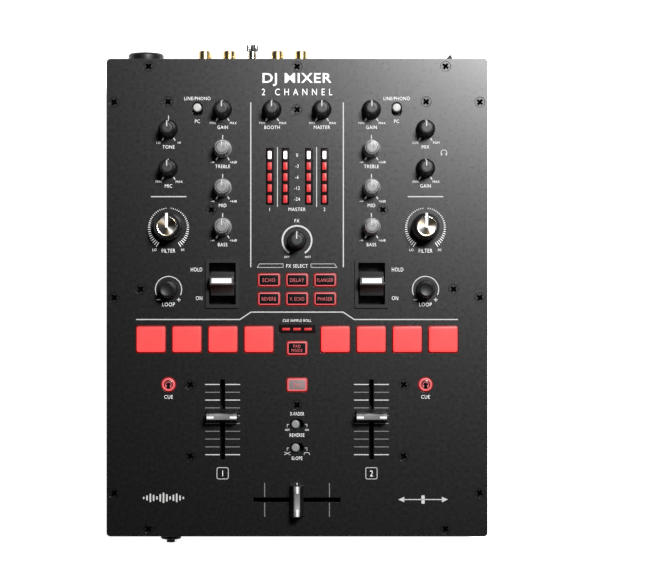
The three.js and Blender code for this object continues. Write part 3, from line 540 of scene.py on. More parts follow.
SMALL_KNOBS = ["tone_knob", "mic_knob", "mix_knob", "phones_knob", "booth_knob", "master_knob",
               "gain_knob_1", "gain_knob_2"]
SILVER_KNOBS = [f"{name}_knob_{side}" for name in ("treble", "mid", "bass") for side in (1, 2)]
FILTER_KNOBS = ["filter_knob_1", "filter_knob_2"]
LOOP_KNOBS = ["loop_knob_1", "loop_knob_2"]
PADS = [f"pad_{i}" for i in range(1, 9)]
FX_BUTTONS = [f"fx_button_{i}" for i in range(1, 7)]
FX_WORDS = {"ECHO": None, "DELAY": None, "FLANGER": 10.8, "REVERB": 9.4, "V. ECHO": 9.6, "PHASER": 9.8}
CUES = ["cue_button_1", "cue_button_2"]
FADERS = ["fader_cap_1", "fader_cap_2"]
PADDLES = ["paddle_1", "paddle_2"]
SWITCH_SLOTS = {"input_switch_1": (7.0, 9.6, 0, -1), "input_switch_2": (7.0, 9.6, 0, -1),
                "reverse_switch": (9.2, 6.8, 1, 0), "slope_switch": (9.2, 6.8, 1, 0)}
PAD_SIZE = (19.7, 18.0)
FX_SIZE = (15.1, 9.1)
MODE_SIZE = (14.0, 9.6)
TAP_SIZE = (14.0, 9.4)
CUE_RADIUS = 4.85
OPENING = 0.4
FRAME_INSET = 0.55
FLANGE_MARGIN = 0.9
CHANNEL_X = abs(centre("fader_cap_1")[0])
CHANNEL_NUMBER_Y = -117.1
HOLD_X = 67.0
FADER_SLOT = (3.0, 53.5)
FADER_SLOT_Y = centre("fader_cap_1")[1] - 2.6
CROSSFADER_Y = centre("crossfader_cap")[1]
CROSSFADER_SLOT = (57.9, 3.0)
METER_X = (-18.25, -7.8, 7.8, 18.25)
METER_Y = centre("meter_window")[1]
METER_SLOT = (5.1, 37.9)
METER_PITCH = 7.35
METER_ROWS = [METER_Y + 14.4 - METER_PITCH * row for row in range(5)]
METER_FIGURE_Y = METER_Y - 21.8
LED_WINDOW = (24.3, 5.5)
LED_Y = centre("pad_mode_button")[1] + 12.7
PADDLE_WELL = (18.0, 28.0)
PADDLE_BEZEL = (22.3, 32.5)
SCREW_HEAD = 3.35
SCREWS = ([(sx * 99, sy * 154.2) for sx in (-1, 1) for sy in (-1, 1)]
          + [(sx * 121.9, y) for sx in (-1, 1) for y in (130.3, 0, -130.3)]
          + [(sx * x, y) for sx in (-1, 1)
             for x, y in ((86, 130.6), (57.1, 58.6), (104.3, 5.6), (71.1, -58), (71.1, -105.6))]
          + [(0, 154.1), (0, 125.3), (0, -71.6)])


# ---- top plate and its screws

def plate_holes():
    def opening(name, size, corner=1.4):
        x, y = centre(name)
        return rounded(size[0] + 2 * OPENING, size[1] + 2 * OPENING, corner, x, y)
    pots = SMALL_KNOBS + SILVER_KNOBS + FILTER_KNOBS + LOOP_KNOBS + ["fx_knob"]
    holes = [circle(3.9, *centre(name), sides=24) for name in pots]
    holes += [circle(CUE_RADIUS + OPENING, *centre(name)) for name in CUES]
    holes += [opening(name, PAD_SIZE) for name in PADS]
    holes += [opening(name, FX_SIZE, 1.6) for name in FX_BUTTONS]
    holes += [opening("pad_mode_button", MODE_SIZE, 1.6), opening("tap_button", TAP_SIZE, 1.6)]
    holes += [rounded(*METER_SLOT, 0.5, x, METER_Y) for x in METER_X]
    holes += [rounded(*LED_WINDOW, 0.5, 0, LED_Y)]
    holes += [rounded(*FADER_SLOT, 0.5, sx * CHANNEL_X, FADER_SLOT_Y) for sx in (-1, 1)]
    holes += [rounded(*CROSSFADER_SLOT, 0.5, 0, CROSSFADER_Y)]
    holes += [rounded(*PADDLE_WELL, 0.5, centre(name)[0], PADDLE_CENTRE_Y) for name in PADDLES]
    for name, (width, depth, dx, dy) in SWITCH_SLOTS.items():
        x, y = centre(name)
        holes.append(stadium(width, depth, x + dx, y + dy))
    holes += [circle(SCREW_HEAD + 0.12, x, y) for x, y in SCREWS]
    return holes


def top_plate():
    bm = new_shape()
    outline = rounded(PLATE_WIDTH, PLATE_DEPTH, PLATE_CORNER, steps=6)
    sheet(bm, outline, plate_holes(), -PLATE_THICKNESS, 0)
    fixed("top_plate_sheet", bm, PANEL, ["top_plate"], bevel=0.22)
    for name in PADDLES:
        x = centre(name)[0]
        bm = new_shape()
        sheet(bm, rounded(*PADDLE_BEZEL, 0.8, x, PADDLE_CENTRE_Y),
              [rounded(PADDLE_WELL[0] - 0.2, PADDLE_WELL[1] - 0.2, 0.6, x, PADDLE_CENTRE_Y)], 0.02, 1.5)
        fixed(f"{name}_bezel", bm, BLACK_PLASTIC, ["top_plate"], bevel=0.35)


def cross_outline(arm, width, x, y):
    half, reach = width / 2, arm / 2
    corners = [(reach, half), (half, half), (half, reach), (-half, reach), (-half, half), (-reach, half),
               (-reach, -half), (-half, -half), (-half, -reach), (half, -reach), (half, -half),
               (reach, -half)]
    return [(x + cx, y + cy) for cx, cy in corners]


def cross_screw(bm, x, y, radius=SCREW_HEAD, top=0.0, sink=1.7, turn=45):
    """A countersunk head with a tapered cross recess."""
    start = len(bm.verts)
    rim = ring_verts(bm, circle(radius, x, y), top - 0.12)
    face = ring_verts(bm, circle(radius - 0.15, x, y), top)
    foot = ring_verts(bm, circle(radius * 0.5, x, y), top - sink)
    bridge(bm, foot, rim)
    bridge(bm, rim, face)
    bm.faces.new(foot[::-1])
    mouth = ring_verts(bm, cross_outline(radius * 1.36, radius * 0.48, x, y), top)
    throat = ring_verts(bm, cross_outline(radius * 1.1, radius * 0.36, x, y), top - 1.3)
    bridge(bm, mouth, throat)
    bm.faces.new(throat)
    edges = []
    for loop in (face, mouth):
        for i, vert in enumerate(loop):
            after = loop[(i + 1) % len(loop)]
            edges.append(bm.edges.get((vert, after)) or bm.edges.new((vert, after)))
    bmesh.ops.triangle_fill(bm, use_beauty=True, edges=edges)
    bm.verts.ensure_lookup_table()
    turned = [bm.verts[i] for i in range(start, len(bm.verts))]
    spin = Matrix.Translation((x, y, 0)) @ Matrix.Rotation(math.radians(turn), 4, "Z")
    bmesh.ops.transform(bm, matrix=spin @ Matrix.Translation((-x, -y, 0)), verts=turned)


def plate_screws():
    heads, recess_shade = new_shape(), new_shape()
    for index, (x, y) in enumerate(SCREWS):
        turn = 40 + 4 * (index % 5)
        cross_screw(heads, x, y, top=-0.08, turn=turn)
        # A near-black cross sheet down in each recess: painted shade.
        recess = new_shape()
        sheet(recess, cross_outline(SCREW_HEAD * 1.3, SCREW_HEAD * 0.44, 0, 0), [], -0.55, -0.4)
        turn_shape(recess, "Z", turn, (x, y, 0))
        merge(recess_shade, recess)
    fixed("plate_screws", heads, PANEL)
    fixed("plate_screw_recess_shade", recess_shade, DEEP_BLACK)


# ---- printed legends

def knob_scale(bm, words, x, y, left, right, label, top_mark):
    for degrees in (-150, 150):
        ink(bm, tick(6.7, 8.7, degrees, 0.75, x, y))
    if top_mark:
        ink(bm, tick(6.6, 9.2, 0, 0.65, x, y))
    write(words, left, x - 6.7, y - 8.9, END_LABEL, condense=0.95)
    write(words, right, x + 7.1, y - 8.9, END_LABEL, condense=0.95)
    write(words, label, x, y - 11.7, LABEL)


def filter_scale(words, x, y):
    """A fan of ticks whose length grows away from the middle."""
    count = 23
    for side in (-1, 1):
        for index in range(count):
            share = index / (count - 1)
            degrees = side * (8 + 140 * share)
            ink(words, tick(12.2, 12.9 + 0.9 * share + 1.7 * share ** 4, degrees, 0.34 + 0.14 * share, x, y))
    write(words, "FILTER", x, y - 15.8, WIDE_LABEL, width=9.0)
    write(words, "LO", x - 9.4, y - 15.2, 1.8)
    write(words, "HI", x + 9.4, y - 15.2, 1.8)


def channel_legends(bm, words, side):
    sign = -1 if side == 1 else 1
    scales = {"gain": ("MIN", "MAX", "GAIN", False), "treble": ("-∞", "+6dB", "TREBLE", True),
              "mid": ("-∞", "+6dB", "MID", True), "bass": ("-∞", "+6dB", "BASS", True)}
    for name, (left, right, label, mark) in scales.items():
        x, y = centre(f"{name}_knob_{side}")
        knob_scale(bm, words, x, y, left, right, label, mark)
    filter_scale(words, *centre(f"filter_knob_{side}"))
    x, y = centre(f"loop_knob_{side}")
    ink(bm, arc_band(8.45, 9.05, -115, 115, x, y))
    ink(bm, bar(x - 7.9, y - 7.05, x - 5.5, y - 6.5))
    ink(bm, cross_outline(2.6, 0.55, x + 6.8, y - 6.8))
    write(words, "LOOP", x, y - 9.9, 2.6)
    x, y = centre(f"input_switch_{side}")
    write(words, "LINE/PHONO", x, y + 6.2, LABEL, width=17.4)
    write(words, "PC", x, y - 9.0, LABEL)
    x = sign * HOLD_X
    write(words, "HOLD", x, 18.8, WIDE_LABEL, width=7.6)
    write(words, "ON", x - sign * 1.7, -0.3, WIDE_LABEL, width=4.2)
    x, y = centre(f"cue_button_{side}")
    write(words, "CUE", x, y - 8.2, 2.5)
    ink_frame(bm, 8.0, 8.0, 1.3, 0.45, sign * CHANNEL_X, CHANNEL_NUMBER_Y)
    write(words, str(side), sign * CHANNEL_X, CHANNEL_NUMBER_Y, 4.1)
    ink(bm, bar(sign * 97.4, 66.95, sign * 73.8, 67.65))
    for rule_x, half, low, high in ((30.85, 0.36, 20.3, 130.2), (13.05, 0.26, 60.5, 100.3)):
        ink(bm, bar(sign * rule_x - half, low, sign * rule_x + half, high))


def fader_marks(white, grey):
    first, pitch, bold_rows = 21.0, 5.2, (0, 2, 9)
    for sign in (-1, 1):
        for row in range(10):
            y = FADER_SLOT_Y + 2.4 + first - pitch * row
            target, half = (white, 0.33) if row in bold_rows else (grey, 0.27)
            for inner, outer in ((-11.6, -1.9), (1.9, 11.6)):
                x = sign * CHANNEL_X
                ink(target, bar(x + inner, y - half, x + outer, y + half))
    for target, x, half in ((grey, -21.6, 0.3), (grey, 21.6, 0.3), (white, 0, 0.36)):
        for near, far in ((-11.3, -1.9), (1.9, 11.3)):
            ink(target, bar(x - half, CROSSFADER_Y + near, x + half, CROSSFADER_Y + far))


def headphone_icon(bm, x, y, size, z=0.0):
    """A band with two ear cups."""
    ink(bm, arc_band(size * 0.40, size * 0.5, -105, 105, x, y, steps=24), z)
    for sign in (-1, 1):
        cup = rounded(size * 0.2, size * 0.38, size * 0.08, x + sign * size * 0.36, y - size * 0.22)
        ink(bm, cup, z)


def switch_legends(bm, words):
    x, y = centre("reverse_switch")
    slot_x = x + SWITCH_SLOTS["reverse_switch"][2]
    write(words, "X-FADER", slot_x, y + 6.9, LABEL, width=9.4)
    write(words, "REVERSE", slot_x, y - 7.3, LABEL, width=9.9)
    write(words, "OFF", slot_x - 6.5, y - 3.9, 1.4)
    write(words, "ON", slot_x + 6.5, y - 3.9, 1.4)
    slope_y = centre("slope_switch")[1]
    write(words, "SLOPE", slot_x, slope_y - 7.0, LABEL, width=7.2)
    for level in (y, slope_y):
        for sign in (-1, 1):
            ink(bm, stroke([(slot_x + sign * 5.3, level - 0.2), (slot_x + sign * 6.6, level - 0.2),
                            (slot_x + sign * 6.6, level - 2.0)], 0.35))
    for sign in (-1, 1):
        ink(bm, stroke([(slot_x - 6.5 - sign * 2, slope_y - 2.9), (slot_x - 6.5, slope_y - 3.8),
                        (slot_x - 6.5 + sign * 2, slope_y - 4.9)], 0.35), thickness=INK + 0.005 * sign)
    ink(bm, stroke([(slot_x + 4.5, slope_y - 4.9), (slot_x + 5.2, slope_y - 3.3),
                    (slot_x + 7.8, slope_y - 3.3), (slot_x + 8.5, slope_y - 4.9)], 0.35))


def generic_marks(bm, words):
    """Plain words and glyphs of our own, where a maker would put badges."""
    write(words, "DJ MIXER", 0, 146.6, 6.6, width=46, bold=0.014)
    write(words, "2 CHANNEL", 0, 137.2, 4.6, width=47, spacing=1.9, bold=0.0)
    for index, level in enumerate((1.6, 3.4, 5.8, 4.2, 2.4, 5.0, 7.0, 5.0, 2.4, 4.2, 5.8, 3.4, 1.6)):
        ink(bm, rounded(1.1, level, 0.5, -102.2 + 2.2 * index, -133.5))
    x, y = 84.0, -134.6
    ink(bm, bar(x - 13, y - 0.3, x + 13, y + 0.3))
    for sign in (-1, 1):
        ink(bm, [(x + sign * 16.5, y), (x + sign * 12.5, y + sign * 1.8), (x + sign * 12.5, y - sign * 1.8)])
    ink(bm, rounded(2.2, 5.6, 0.5, x, y))


def legends():
    white, grey, words = new_shape(), new_shape(), new_shape()
    for side in (1, 2):
        channel_legends(white, words, side)
    for name, left, right, label, mark in (
            ("tone_knob", "LO", "HI", "TONE", True), ("mic_knob", "MIN", "MAX", "MIC", False),
            ("mix_knob", "CUE", "PGM", "MIX", False), ("phones_knob", "MIN", "MAX", "GAIN", False),
            ("booth_knob", "MIN", "MAX", "BOOTH", False), ("master_knob", "MIN", "MAX", "MASTER", False)):
        knob_scale(white, words, *centre(name), left, right, label, mark)
    x, y = centre("fx_knob")
    ink(white, arc_band(9.2, 10.3, -148, 148, x, y, steps=64))
    write(words, "FX", x, y + 13.2, LABEL)
    write(words, "DRY", x - 6.8, y - 11.0, 1.5)
    write(words, "WET", x + 7.2, y - 11.0, 1.5)
    headphone_icon(white, 97.9, 96.5, 4.4)
    for value, level in zip(("0", "-3", "-6", "-12", "-24"), METER_ROWS):
        write(words, value, 0, level, FIGURE)
    write(words, "1", METER_X[0], METER_FIGURE_Y, FIGURE)
    write(words, "2", METER_X[-1], METER_FIGURE_Y, FIGURE)
    write(words, "MASTER", 0, METER_FIGURE_Y, LABEL, width=11.4)
    front, rear = -14.6, -9.65
    ink(white, stroke([(-107.2, front), (-38.1, front), (-30.7, rear), (30.7, rear), (38.1, front),
                       (107.2, front)], 0.68))
    write(words, "FX SELECT", 0, 21.2, LABEL, width=14.3)
    for sign in (-1, 1):
        near = sign * 9.25
        outer = [(near, 20.1), (sign * 26.5, 20.1), (sign * 25.0, 22.5), (near, 22.5)]
        ink(white, stroke(outer + outer[:1], 0.32))
    write(words, "CUE SAMPLE ROLL", 0, LED_Y + 5.8, 1.9, width=19.0)
    switch_legends(white, words)
    generic_marks(white, words)
    fader_marks(white, grey)
    fixed("printed_legends", white, WHITE_INK)
    fixed("printed_words", words, WORD_INK_AND_GLINTS)
    fixed("printed_fader_marks", grey, GREY_INK)


# ---- knobs

def pointer(bm, x, y, path, width, proud=0.12):
    """An inlaid strip that runs towards the rear along a path of (reach, z) points."""
    half = width / 2
    section = ((-half, 0, -0.3), (half, 0, -0.3), (half, proud, proud), (-half, proud, proud))
    skin(bm, [[(x + dx, y + reach + dy, z + dz) for dx, dy, dz in section] for reach, z in path])


def knob(name, skirt, waist, top, line, grip_material=BLACK_PLASTIC, top_material=KNOB_TOP,
         flutes=24):
    """A turned knob: skirt, fluted grip, dished top and an inlaid pointer. Its sizes are radii,
    and line is the pointer's width."""
    x, y = centre(name)
    rise = height(name)
    neck = 3.0
    bm = new_shape()
    profile = [(0, -15), (3.0, -15), (3.0, 1.0), (skirt - 0.15, 1.0), (skirt, 1.2), (skirt, 2.1),
               (skirt - 0.25, 2.5), (waist + 0.35, neck), (waist, neck + 0.6, 1),
               (waist + (top - waist) * 0.5, (neck + rise) / 2, 1), (top, rise - 0.9, 1),
               (top - 0.1, rise - 0.35), (top - 0.4, rise - 0.05), (top - 0.8, rise),
               (top - 1.0, rise - 0.12), (0, rise - 0.12)]
    lathe(bm, profile, 96, x, y, flutes, 0.22)
    moving(name, "grip", bm, grip_material)
    bm = new_shape()
    disc = top - 1.05
    lathe(bm, [(0, rise - 0.14), (disc, rise - 0.14), (disc, rise - 0.02), (disc - 0.2, rise + 0.03),
               (disc * 0.5, rise - 0.03), (0, rise - 0.05)], 48, x, y)
    moving(name, "disc", bm, top_material)
    # A near-black ring between the top disc and the grip: painted shade for the groove there.
    bm = new_shape()
    low, high, rim = rise - 0.14, rise + 0.04, disc + 0.42
    lathe(bm, closed([(disc, low), (rim, low), (rim, high), (disc, high)]), 48, x, y)
    moving(name, "groove", bm, DEEP_BLACK)
    bm = new_shape()
    pointer(bm, x, y, [(0.7, rise), (top - 0.5, rise), (top - 0.05, rise - 0.45),
                       (waist - 0.08, neck + 0.6), (skirt - 0.3, 2.5)], line)
    moving(name, "pointer", bm, WHITE_INK)


def filter_knob(name):
    x, y = centre(name)
    rise = height(name)
    bm = new_shape()
    outline = fillet([(0, -15), (3, -15), (3, 1), (9.2, 1), (9.2, 3.0), (9.0, 3.2), (8.7, rise - 1.6),
                      (7.6, rise - 0.4), (7.0, rise), (6.6, rise), (6.6, rise - 0.7),
                      (0, rise - 0.7)], 0.3, 2)
    grips = [(r, z, 1 if 3.5 < z < rise - 1.6 and r > 8 else 0) for r, z in outline]
    lathe(bm, grips, 144, x, y, 36, 0.28)
    moving(name, "grip", bm, BLACK_PLASTIC)
    bm = new_shape()
    lathe(bm, fillet([(0, rise - 0.65), (6.5, rise - 0.65), (6.5, rise - 0.1), (6.3, rise + 0.0),
                      (5.9, rise - 0.12), (0, rise - 0.2)], 0.1), 72)
    face = moving(name, "face", bm, FILTER_FACE)
    move_origin(face, x, y)
    bm = new_shape()
    pointer(bm, x, y, [(-1.0, rise - 0.12), (6.9, rise + 0.02), (7.7, rise - 0.45), (8.6, rise - 1.7)], 1.6)
    moving(name, "pointer", bm, WORD_INK_AND_GLINTS)


def move_origin(obj, x, y):
    """Puts a piece that was modelled at the panel's middle at (x, y), keeping its own origin there."""
    obj.data.transform(Matrix.Translation((0, -PANEL_Y * MM, 0)))
    parent = obj.parent
    obj.parent = None
    obj.matrix_world = Matrix.Translation((x * MM, (y + PANEL_Y) * MM, 0))
    obj.parent = parent
    obj.matrix_parent_inverse = Matrix.Identity(4)


def loop_knob(name):
    x, y = centre(name)
    rise = height(name)
    bm = new_shape()
    profile = [(0, -13.5), (1.6, -13.5), (1.6, 1.0), (6.1, 1.0), (6.25, 1.2), (6.25, 2.4), (5.9, 2.9),
               (5.7, 3.4, 1), (5.3, 8.0, 1), (4.95, rise - 1.2, 1), (4.8, rise - 0.5), (4.45, rise - 0.1),
               (4.1, rise), (3.8, rise - 0.15), (0, rise - 0.3)]
    lathe(bm, profile, 96, x, y, 24, 0.25)
    moving(name, "grip", bm, BLACK_PLASTIC)


def knobs():
    for name in SMALL_KNOBS:
        knob(name, skirt=6.35, waist=5.3, top=4.5, line=0.72)
    knob("fx_knob", skirt=6.35, waist=5.5, top=4.7, line=0.85)
    for name in SILVER_KNOBS:
        knob(name, skirt=6.1, waist=5.4, top=4.6, line=0.72, grip_material=SILVER, top_material=SILVER_TOP,
             flutes=0)
    for name in FILTER_KNOBS:
        filter_knob(name)
    for name in LOOP_KNOBS:
        loop_knob(name)


# ---- pads and buttons

def plunger(bm, x, y):
    prism(bm, rounded(4.0, 4.0, 0.5, x, y), -10.2, -3.5)


def glow_skirt(name, width, depth, corner, slot):
    """The translucent flange under a cap, which shows as a dark red line round it."""
    x, y = centre(name)
    bm = new_shape()
    rim = 0.05
    soft_block(bm, width + 2 * FLANGE_MARGIN, depth + 2 * FLANGE_MARGIN, corner, -3.8, -2.4, 0.1, x, y)
    soft_block(bm, width + 2 * rim, depth + 2 * rim, corner + rim, -2.6, -0.25, 0.1, x, y)
    plunger(bm, x, y)
    moving(name, "skirt", bm, RIM_RED)


def pads():
    for name in PADS:
        x, y = centre(name)
        glow_skirt(name, *PAD_SIZE, 1.2, "pad_red")
        bm = new_shape()
        width, depth = PAD_SIZE
        soft_block(bm, width - 1.0, depth - 1.2, 1.4, -0.4, height(name) - 0.12, 0.45, x, y, crown=0.1)
        moving(name, "cap", bm, PAD_RED)


def framed_button(name, size, centre_material, text_end_glints, border, cap, **style):
    """A lit frame round a flush window, with lit letters, cap high, on it."""
    x, y = centre(name)
    top = height(name)
    glow_skirt(name, *size, 1.4, "button_red")
    width, depth = size[0] - 2 * FRAME_INSET, size[1] - 2 * FRAME_INSET
    bm = new_shape()
    inner = (width - 2 * border, depth - 2 * border)
    rings = [(rounded(width, depth, 1.4, x, y), -0.4)]
    for inset, drop in edge_steps(0.4):
        rings.append((rounded(width - 2 * inset, depth - 2 * inset, 1.4 - inset, x, y), top - drop))
    rings.append((rounded(*inner, 0.5, x, y), top))
    rings.append((rounded(*inner, 0.5, x, y), top - 0.5))
    loft(bm, rings)
    moving(name, "frame", bm, RING_RED)
    bm = new_shape()
    soft_block(bm, inner[0] - 0.1, inner[1] - 0.1, 0.5, top - 0.45, top - 0.06, 0.1, x, y)
    moving(name, "window", bm, centre_material)
    bm = new_shape()
    spread = cap + 0.75
    for row, text in enumerate(text_end_glints):
        write(bm, text, x, y + spread * ((len(text_end_glints) - 1) / 2 - row), cap, z=top - 0.06, **style)
    moving(name, "letters", bm, TEXT_RED)


def cue_button(name):
    x, y = centre(name)
    top = height(name)
    bm = new_shape()
    lathe(bm, [(0, -3.8), (6.0, -3.8), (6.0, -2.4), (4.9, -2.4), (4.9, -0.3), (0, -0.3)], 48, x, y)
    plunger(bm, x, y)
    moving(name, "skirt", bm, RIM_RED)
    bm = new_shape()
    inner, outer = 3.0, CUE_RADIUS - FRAME_INSET
    ring = fillet([(0.01, -0.25), (outer, -0.25), (outer, top - 0.1), (inner + 0.3, top),
                   (inner, top - 0.3), (inner, top - 0.6)], 0.3)
    lathe(bm, [(0, -0.25), *ring, (0, top - 0.6)], 48, x, y)
    moving(name, "ring", bm, RING_RED)
    bm = new_shape()
    lathe(bm, [(0, top - 0.55), (inner - 0.05, top - 0.55), (inner - 0.05, top - 0.25),
               (inner - 0.3, top - 0.15), (0, top - 0.15)], 48, x, y)
    moving(name, "window", bm, GLOSS_BLACK)
    bm = new_shape()
    headphone_icon(bm, x, y - 0.2, 4.3, top - 0.15)
    moving(name, "icon", bm, TEXT_RED)


def buttons():
    for name, (text, width) in zip(FX_BUTTONS, FX_WORDS.items()):
        framed_button(name, FX_SIZE, GLOSS_BLACK, [text], border=0.62, cap=2.5, width=width)
    framed_button("pad_mode_button", MODE_SIZE, GLOSS_BLACK, ["PAD", "MODE"], border=0.8, cap=2.1)
    framed_button("tap_button", TAP_SIZE, TAP_GREY, ["TAP"], border=0.9, cap=2.2)
    for name in CUES:
        cue_button(name)


# ---- meters and indicators

def meters():
    bm = new_shape()
    base_top = -PLATE_THICKNESS - 0.3
    soft_block(bm, 48, METER_SLOT[1] + 4, 1.0, base_top - 3, base_top, 0.3, 0, METER_Y)
    for x in METER_X:
        soft_block(bm, METER_SLOT[0] - 0.5, METER_SLOT[1] - 0.5, 0.4, base_top - 0.5, -0.45, 0.15, x, METER_Y)
    fixed("meter_light_guide", bm, LENS, ["meter_window"])
    red, white = new_shape(), new_shape()
    for x in METER_X:
        for level in METER_ROWS:
            target, width, depth = (white, 2.3, 5.2) if level == METER_ROWS[0] else (red, 2.7, 5.0)
            soft_block(target, width, depth, 0.5, -0.6, -0.32, 0.08, x, level)
    fixed("meter_segments_red", red, LED_RED)
    fixed("meter_segments_white", white, LED_WHITE)
    bm = new_shape()
    soft_block(bm, LED_WINDOW[0] - 0.3, LED_WINDOW[1] - 0.3, 0.4, -2.6, -0.5, 0.12, 0, LED_Y)
    fixed("pad_mode_indicator_lens", bm, LENS)
    bm = new_shape()
    for x in (-7.3, 0, 7.3):
        soft_block(bm, 5.0, 1.6, 0.4, -0.6, -0.38, 0.08, x, LED_Y)
    fixed("pad_mode_indicator_lights", bm, LED_RED)


# ---- faders

CAP_HALF = 10.1
CAP_TOP = 12.5
CAP_DIP = 1.5
DIP_REACH = 7.0


def dip(station):
    """How deep the finger dish is at a place along the cap."""
    return CAP_DIP * max(0.0, 1 - (abs(station) / DIP_REACH) ** 2)


def mirrored(stations):
    return [-station for station in reversed(stations)] + [0] + stations


def fader_body(bm):
    """A cap lying along X, dished for the finger in the middle."""
    rows = []
    for station in mirrored([2, 4, 5, 6, 7, 8, 9, CAP_HALF - 0.25, CAP_HALF]):
        low = dip(station)
        top = CAP_TOP - low
        section = [(4.4, 1.5), (4.4, 3.4), (4.15, 4.2), (3.2, 6.6), (2.65, 9.2 - low * 0.5),
                   (2.35, top - 0.5), (2.05, top - 0.12), (1.6, top)]
        pinch = 0.3 if abs(station) == CAP_HALF else 0.0
        right = [(y - pinch, z - (pinch if z > 10 else 0)) for y, z in section]
        left = [(-y, z) for y, z in reversed(right)]
        rows.append([(station, y, z) for y, z in right + left])
    skin(bm, rows)


def fader_ridge(bm):
    """The satin strip along a cap's ridge, coloured a lighter grey as painted sheen where the ridge catches
    the light. A shallow groove parts its rear third from the rest.
    """
    rows = []
    for station in mirrored([2, 4, 5, 6, 7, 8, 9.4, 9.95]):
        top = CAP_TOP - dip(station)
        section = [(-2.0, top - 0.5), (2.15, top - 0.5), (2.15, top - 0.2), (1.3, top + 0.1),
                   (0.5, top + 0.05), (-1.7, top + 0.12), (-2.0, top - 0.05)]
        rows.append([(station, y, z) for y, z in section])
    skin(bm, rows)


def fader_lines(bm):
    """White strips at the two ends of the ridge, which run down the ends: painted glints where the ends catch
    the light.
    """
    path = [(5.4, 12.0), (7.2, 12.45), (9.6, 12.5), (10.02, 12.2), (10.1, 9.0)]
    section = ((-1.05, -0.4), (0.15, -0.4), (0.15, 0.2), (-1.05, 0.2))
    for sign in (-1, 1):
        skin(bm, [[(sign * reach, y, z + dz) for y, dz in section] for reach, z in path])


def fader_cap(name, turn):
    for suffix, build, material, slot in (("cap", fader_body, FADER_BLACK, "fader_black"),
                                          ("ridge", fader_ridge, RIDGE_SHEEN_GREY, "fader_black"),
                                          ("end_glints", fader_lines, WORD_INK_AND_GLINTS, "legend_white")):
        bm = new_shape()
        build(bm)
        turn_shape(bm, "Z", turn, (*centre(name), 0))
        moving(name, suffix, bm, material)


def fader_stem(name):
    """The stem and the carriage that runs in the fader's track."""
    place = centre(name)
    bm = new_shape()
    prism(bm, rounded(1.2, 6, 0.3, *place), -10, 1.6)
    prism(bm, rounded(5, 12, 0.5, *place), -13, -8.5)
    moving(name, "stem", bm, SLOT_SHADE_STEEL)


def crossfader_carriage():
    """The stem and the bored slider that runs on the unit's two rods."""
    x, y = centre("crossfader_cap")
    bm = new_shape()
    prism(bm, rounded(6, 1.2, 0.3, x, y), -8.5, 1.6)
    piece("crossfader_stem", bm, SLOT_SHADE_STEEL, "crossfader_cap", ["crossfader_cap"])
    bm = new_shape()
    section = rounded(16, 8, 0.6)
    bores = [circle(1.9, sign * 5, 0, 24) for sign in (-1, 1)]
    sheet(bm, section, bores, -6, 6)
    turn_shape(bm, "X", 90)
    turn_shape(bm, "Z", 90, (x, y, -12))
    piece("crossfader_slider", bm, BLACK_PLASTIC, "crossfader_cap", ["crossfader_cap"],
          bevel=0.2)


def faders():
    for name in FADERS:
        fader_cap(name, 0)
        fader_stem(name)
    fader_cap("crossfader_cap", 90)
    crossfader_carriage()


# ---- switches and paddles

def switches():
    for name in SWITCH_SLOTS:
        x, y = centre(name)
        top = height(name)
        bm = new_shape()
        profile = fillet([(0, -4), (2.7, -4), (2.7, top - 0.5), (2.1, top), (0, top - 0.1)], 0.35)
        lathe(bm, profile, 48, x, y)
        prism(bm, rounded(2, 2, 0.2, x, y), -11, -3.8)
        material = WHITE_PLASTIC if name.startswith("input") else SWITCH_GREY
        moving(name, "cap", bm, material)


def paddle_section(part):
    """The lever's section, or its white tip's, as (y, z) points from its pivot. It leans to the rear. The
    white tip is a painted highlight.
    """
    front = [(-8.0, 3.0), (-7.9, 7.6), (-6.6, 8.8), (-4.2, 11.5), (-2.2, 15.5), (-1.0, 19.0),
             (-0.6, 19.7)]
    rear = [(4.1, 19.7), (4.5, 19.0), (5.2, 15.5), (6.2, 11.5), (7.3, 8.8), (7.9, 7.6), (8.0, 3.0)]
    if part == "lever":
        return [(6.5, -2.5), *reversed(rear), *reversed(front), (-6.5, -2.5)]
    return [(0.3, 19.2), (3.4, 19.2), (3.4, 19.75), (3.1, 20.0), (0.6, 20.0), (0.3, 19.75)]


def cross_loft(bm, section, half, round_end):
    """A section pushed along X, drawn in a little at both ends."""
    middle_y = sum(y for y, _ in section) / len(section)
    middle_z = sum(z for _, z in section) / len(section)
    rows = []
    for station, shrink in ((-half, round_end), (-half + round_end, 0),
                            (half - round_end, 0), (half, round_end)):
        keep = 1 - shrink / 8
        rows.append([(station, middle_y + (y - middle_y) * keep, middle_z + (z - middle_z) * keep)
                     for y, z in section])
    skin(bm, rows)


def paddles():
    for name in PADDLES:
        pivot = (centre(name)[0], PADDLE_CENTRE_Y, PADDLE_PIVOT)
        bm = new_shape()
        cross_loft(bm, paddle_section("lever"), 7.9, 0.35)
        shift(bm, pivot)
        moving(name, "lever", bm, PADDLE_METAL, bevel=0.25)
        # The white tip along the crest: painted highlight where the lever catches the light.
        bm = new_shape()
        cross_loft(bm, paddle_section("tip"), 6.5, 0.15)
        shift(bm, pivot)
        moving(name, "tip", bm, WORD_INK_AND_GLINTS)
        bm = new_shape()
        lathe(bm, [(0, -11.3), (1.5, -11.3), (1.5, 11.3), (0, 11.3)], 24)
        turn_shape(bm, "Y", 90, pivot)
        moving(name, "pin", bm, STEEL)


# ---- tray, feet and wall fittings

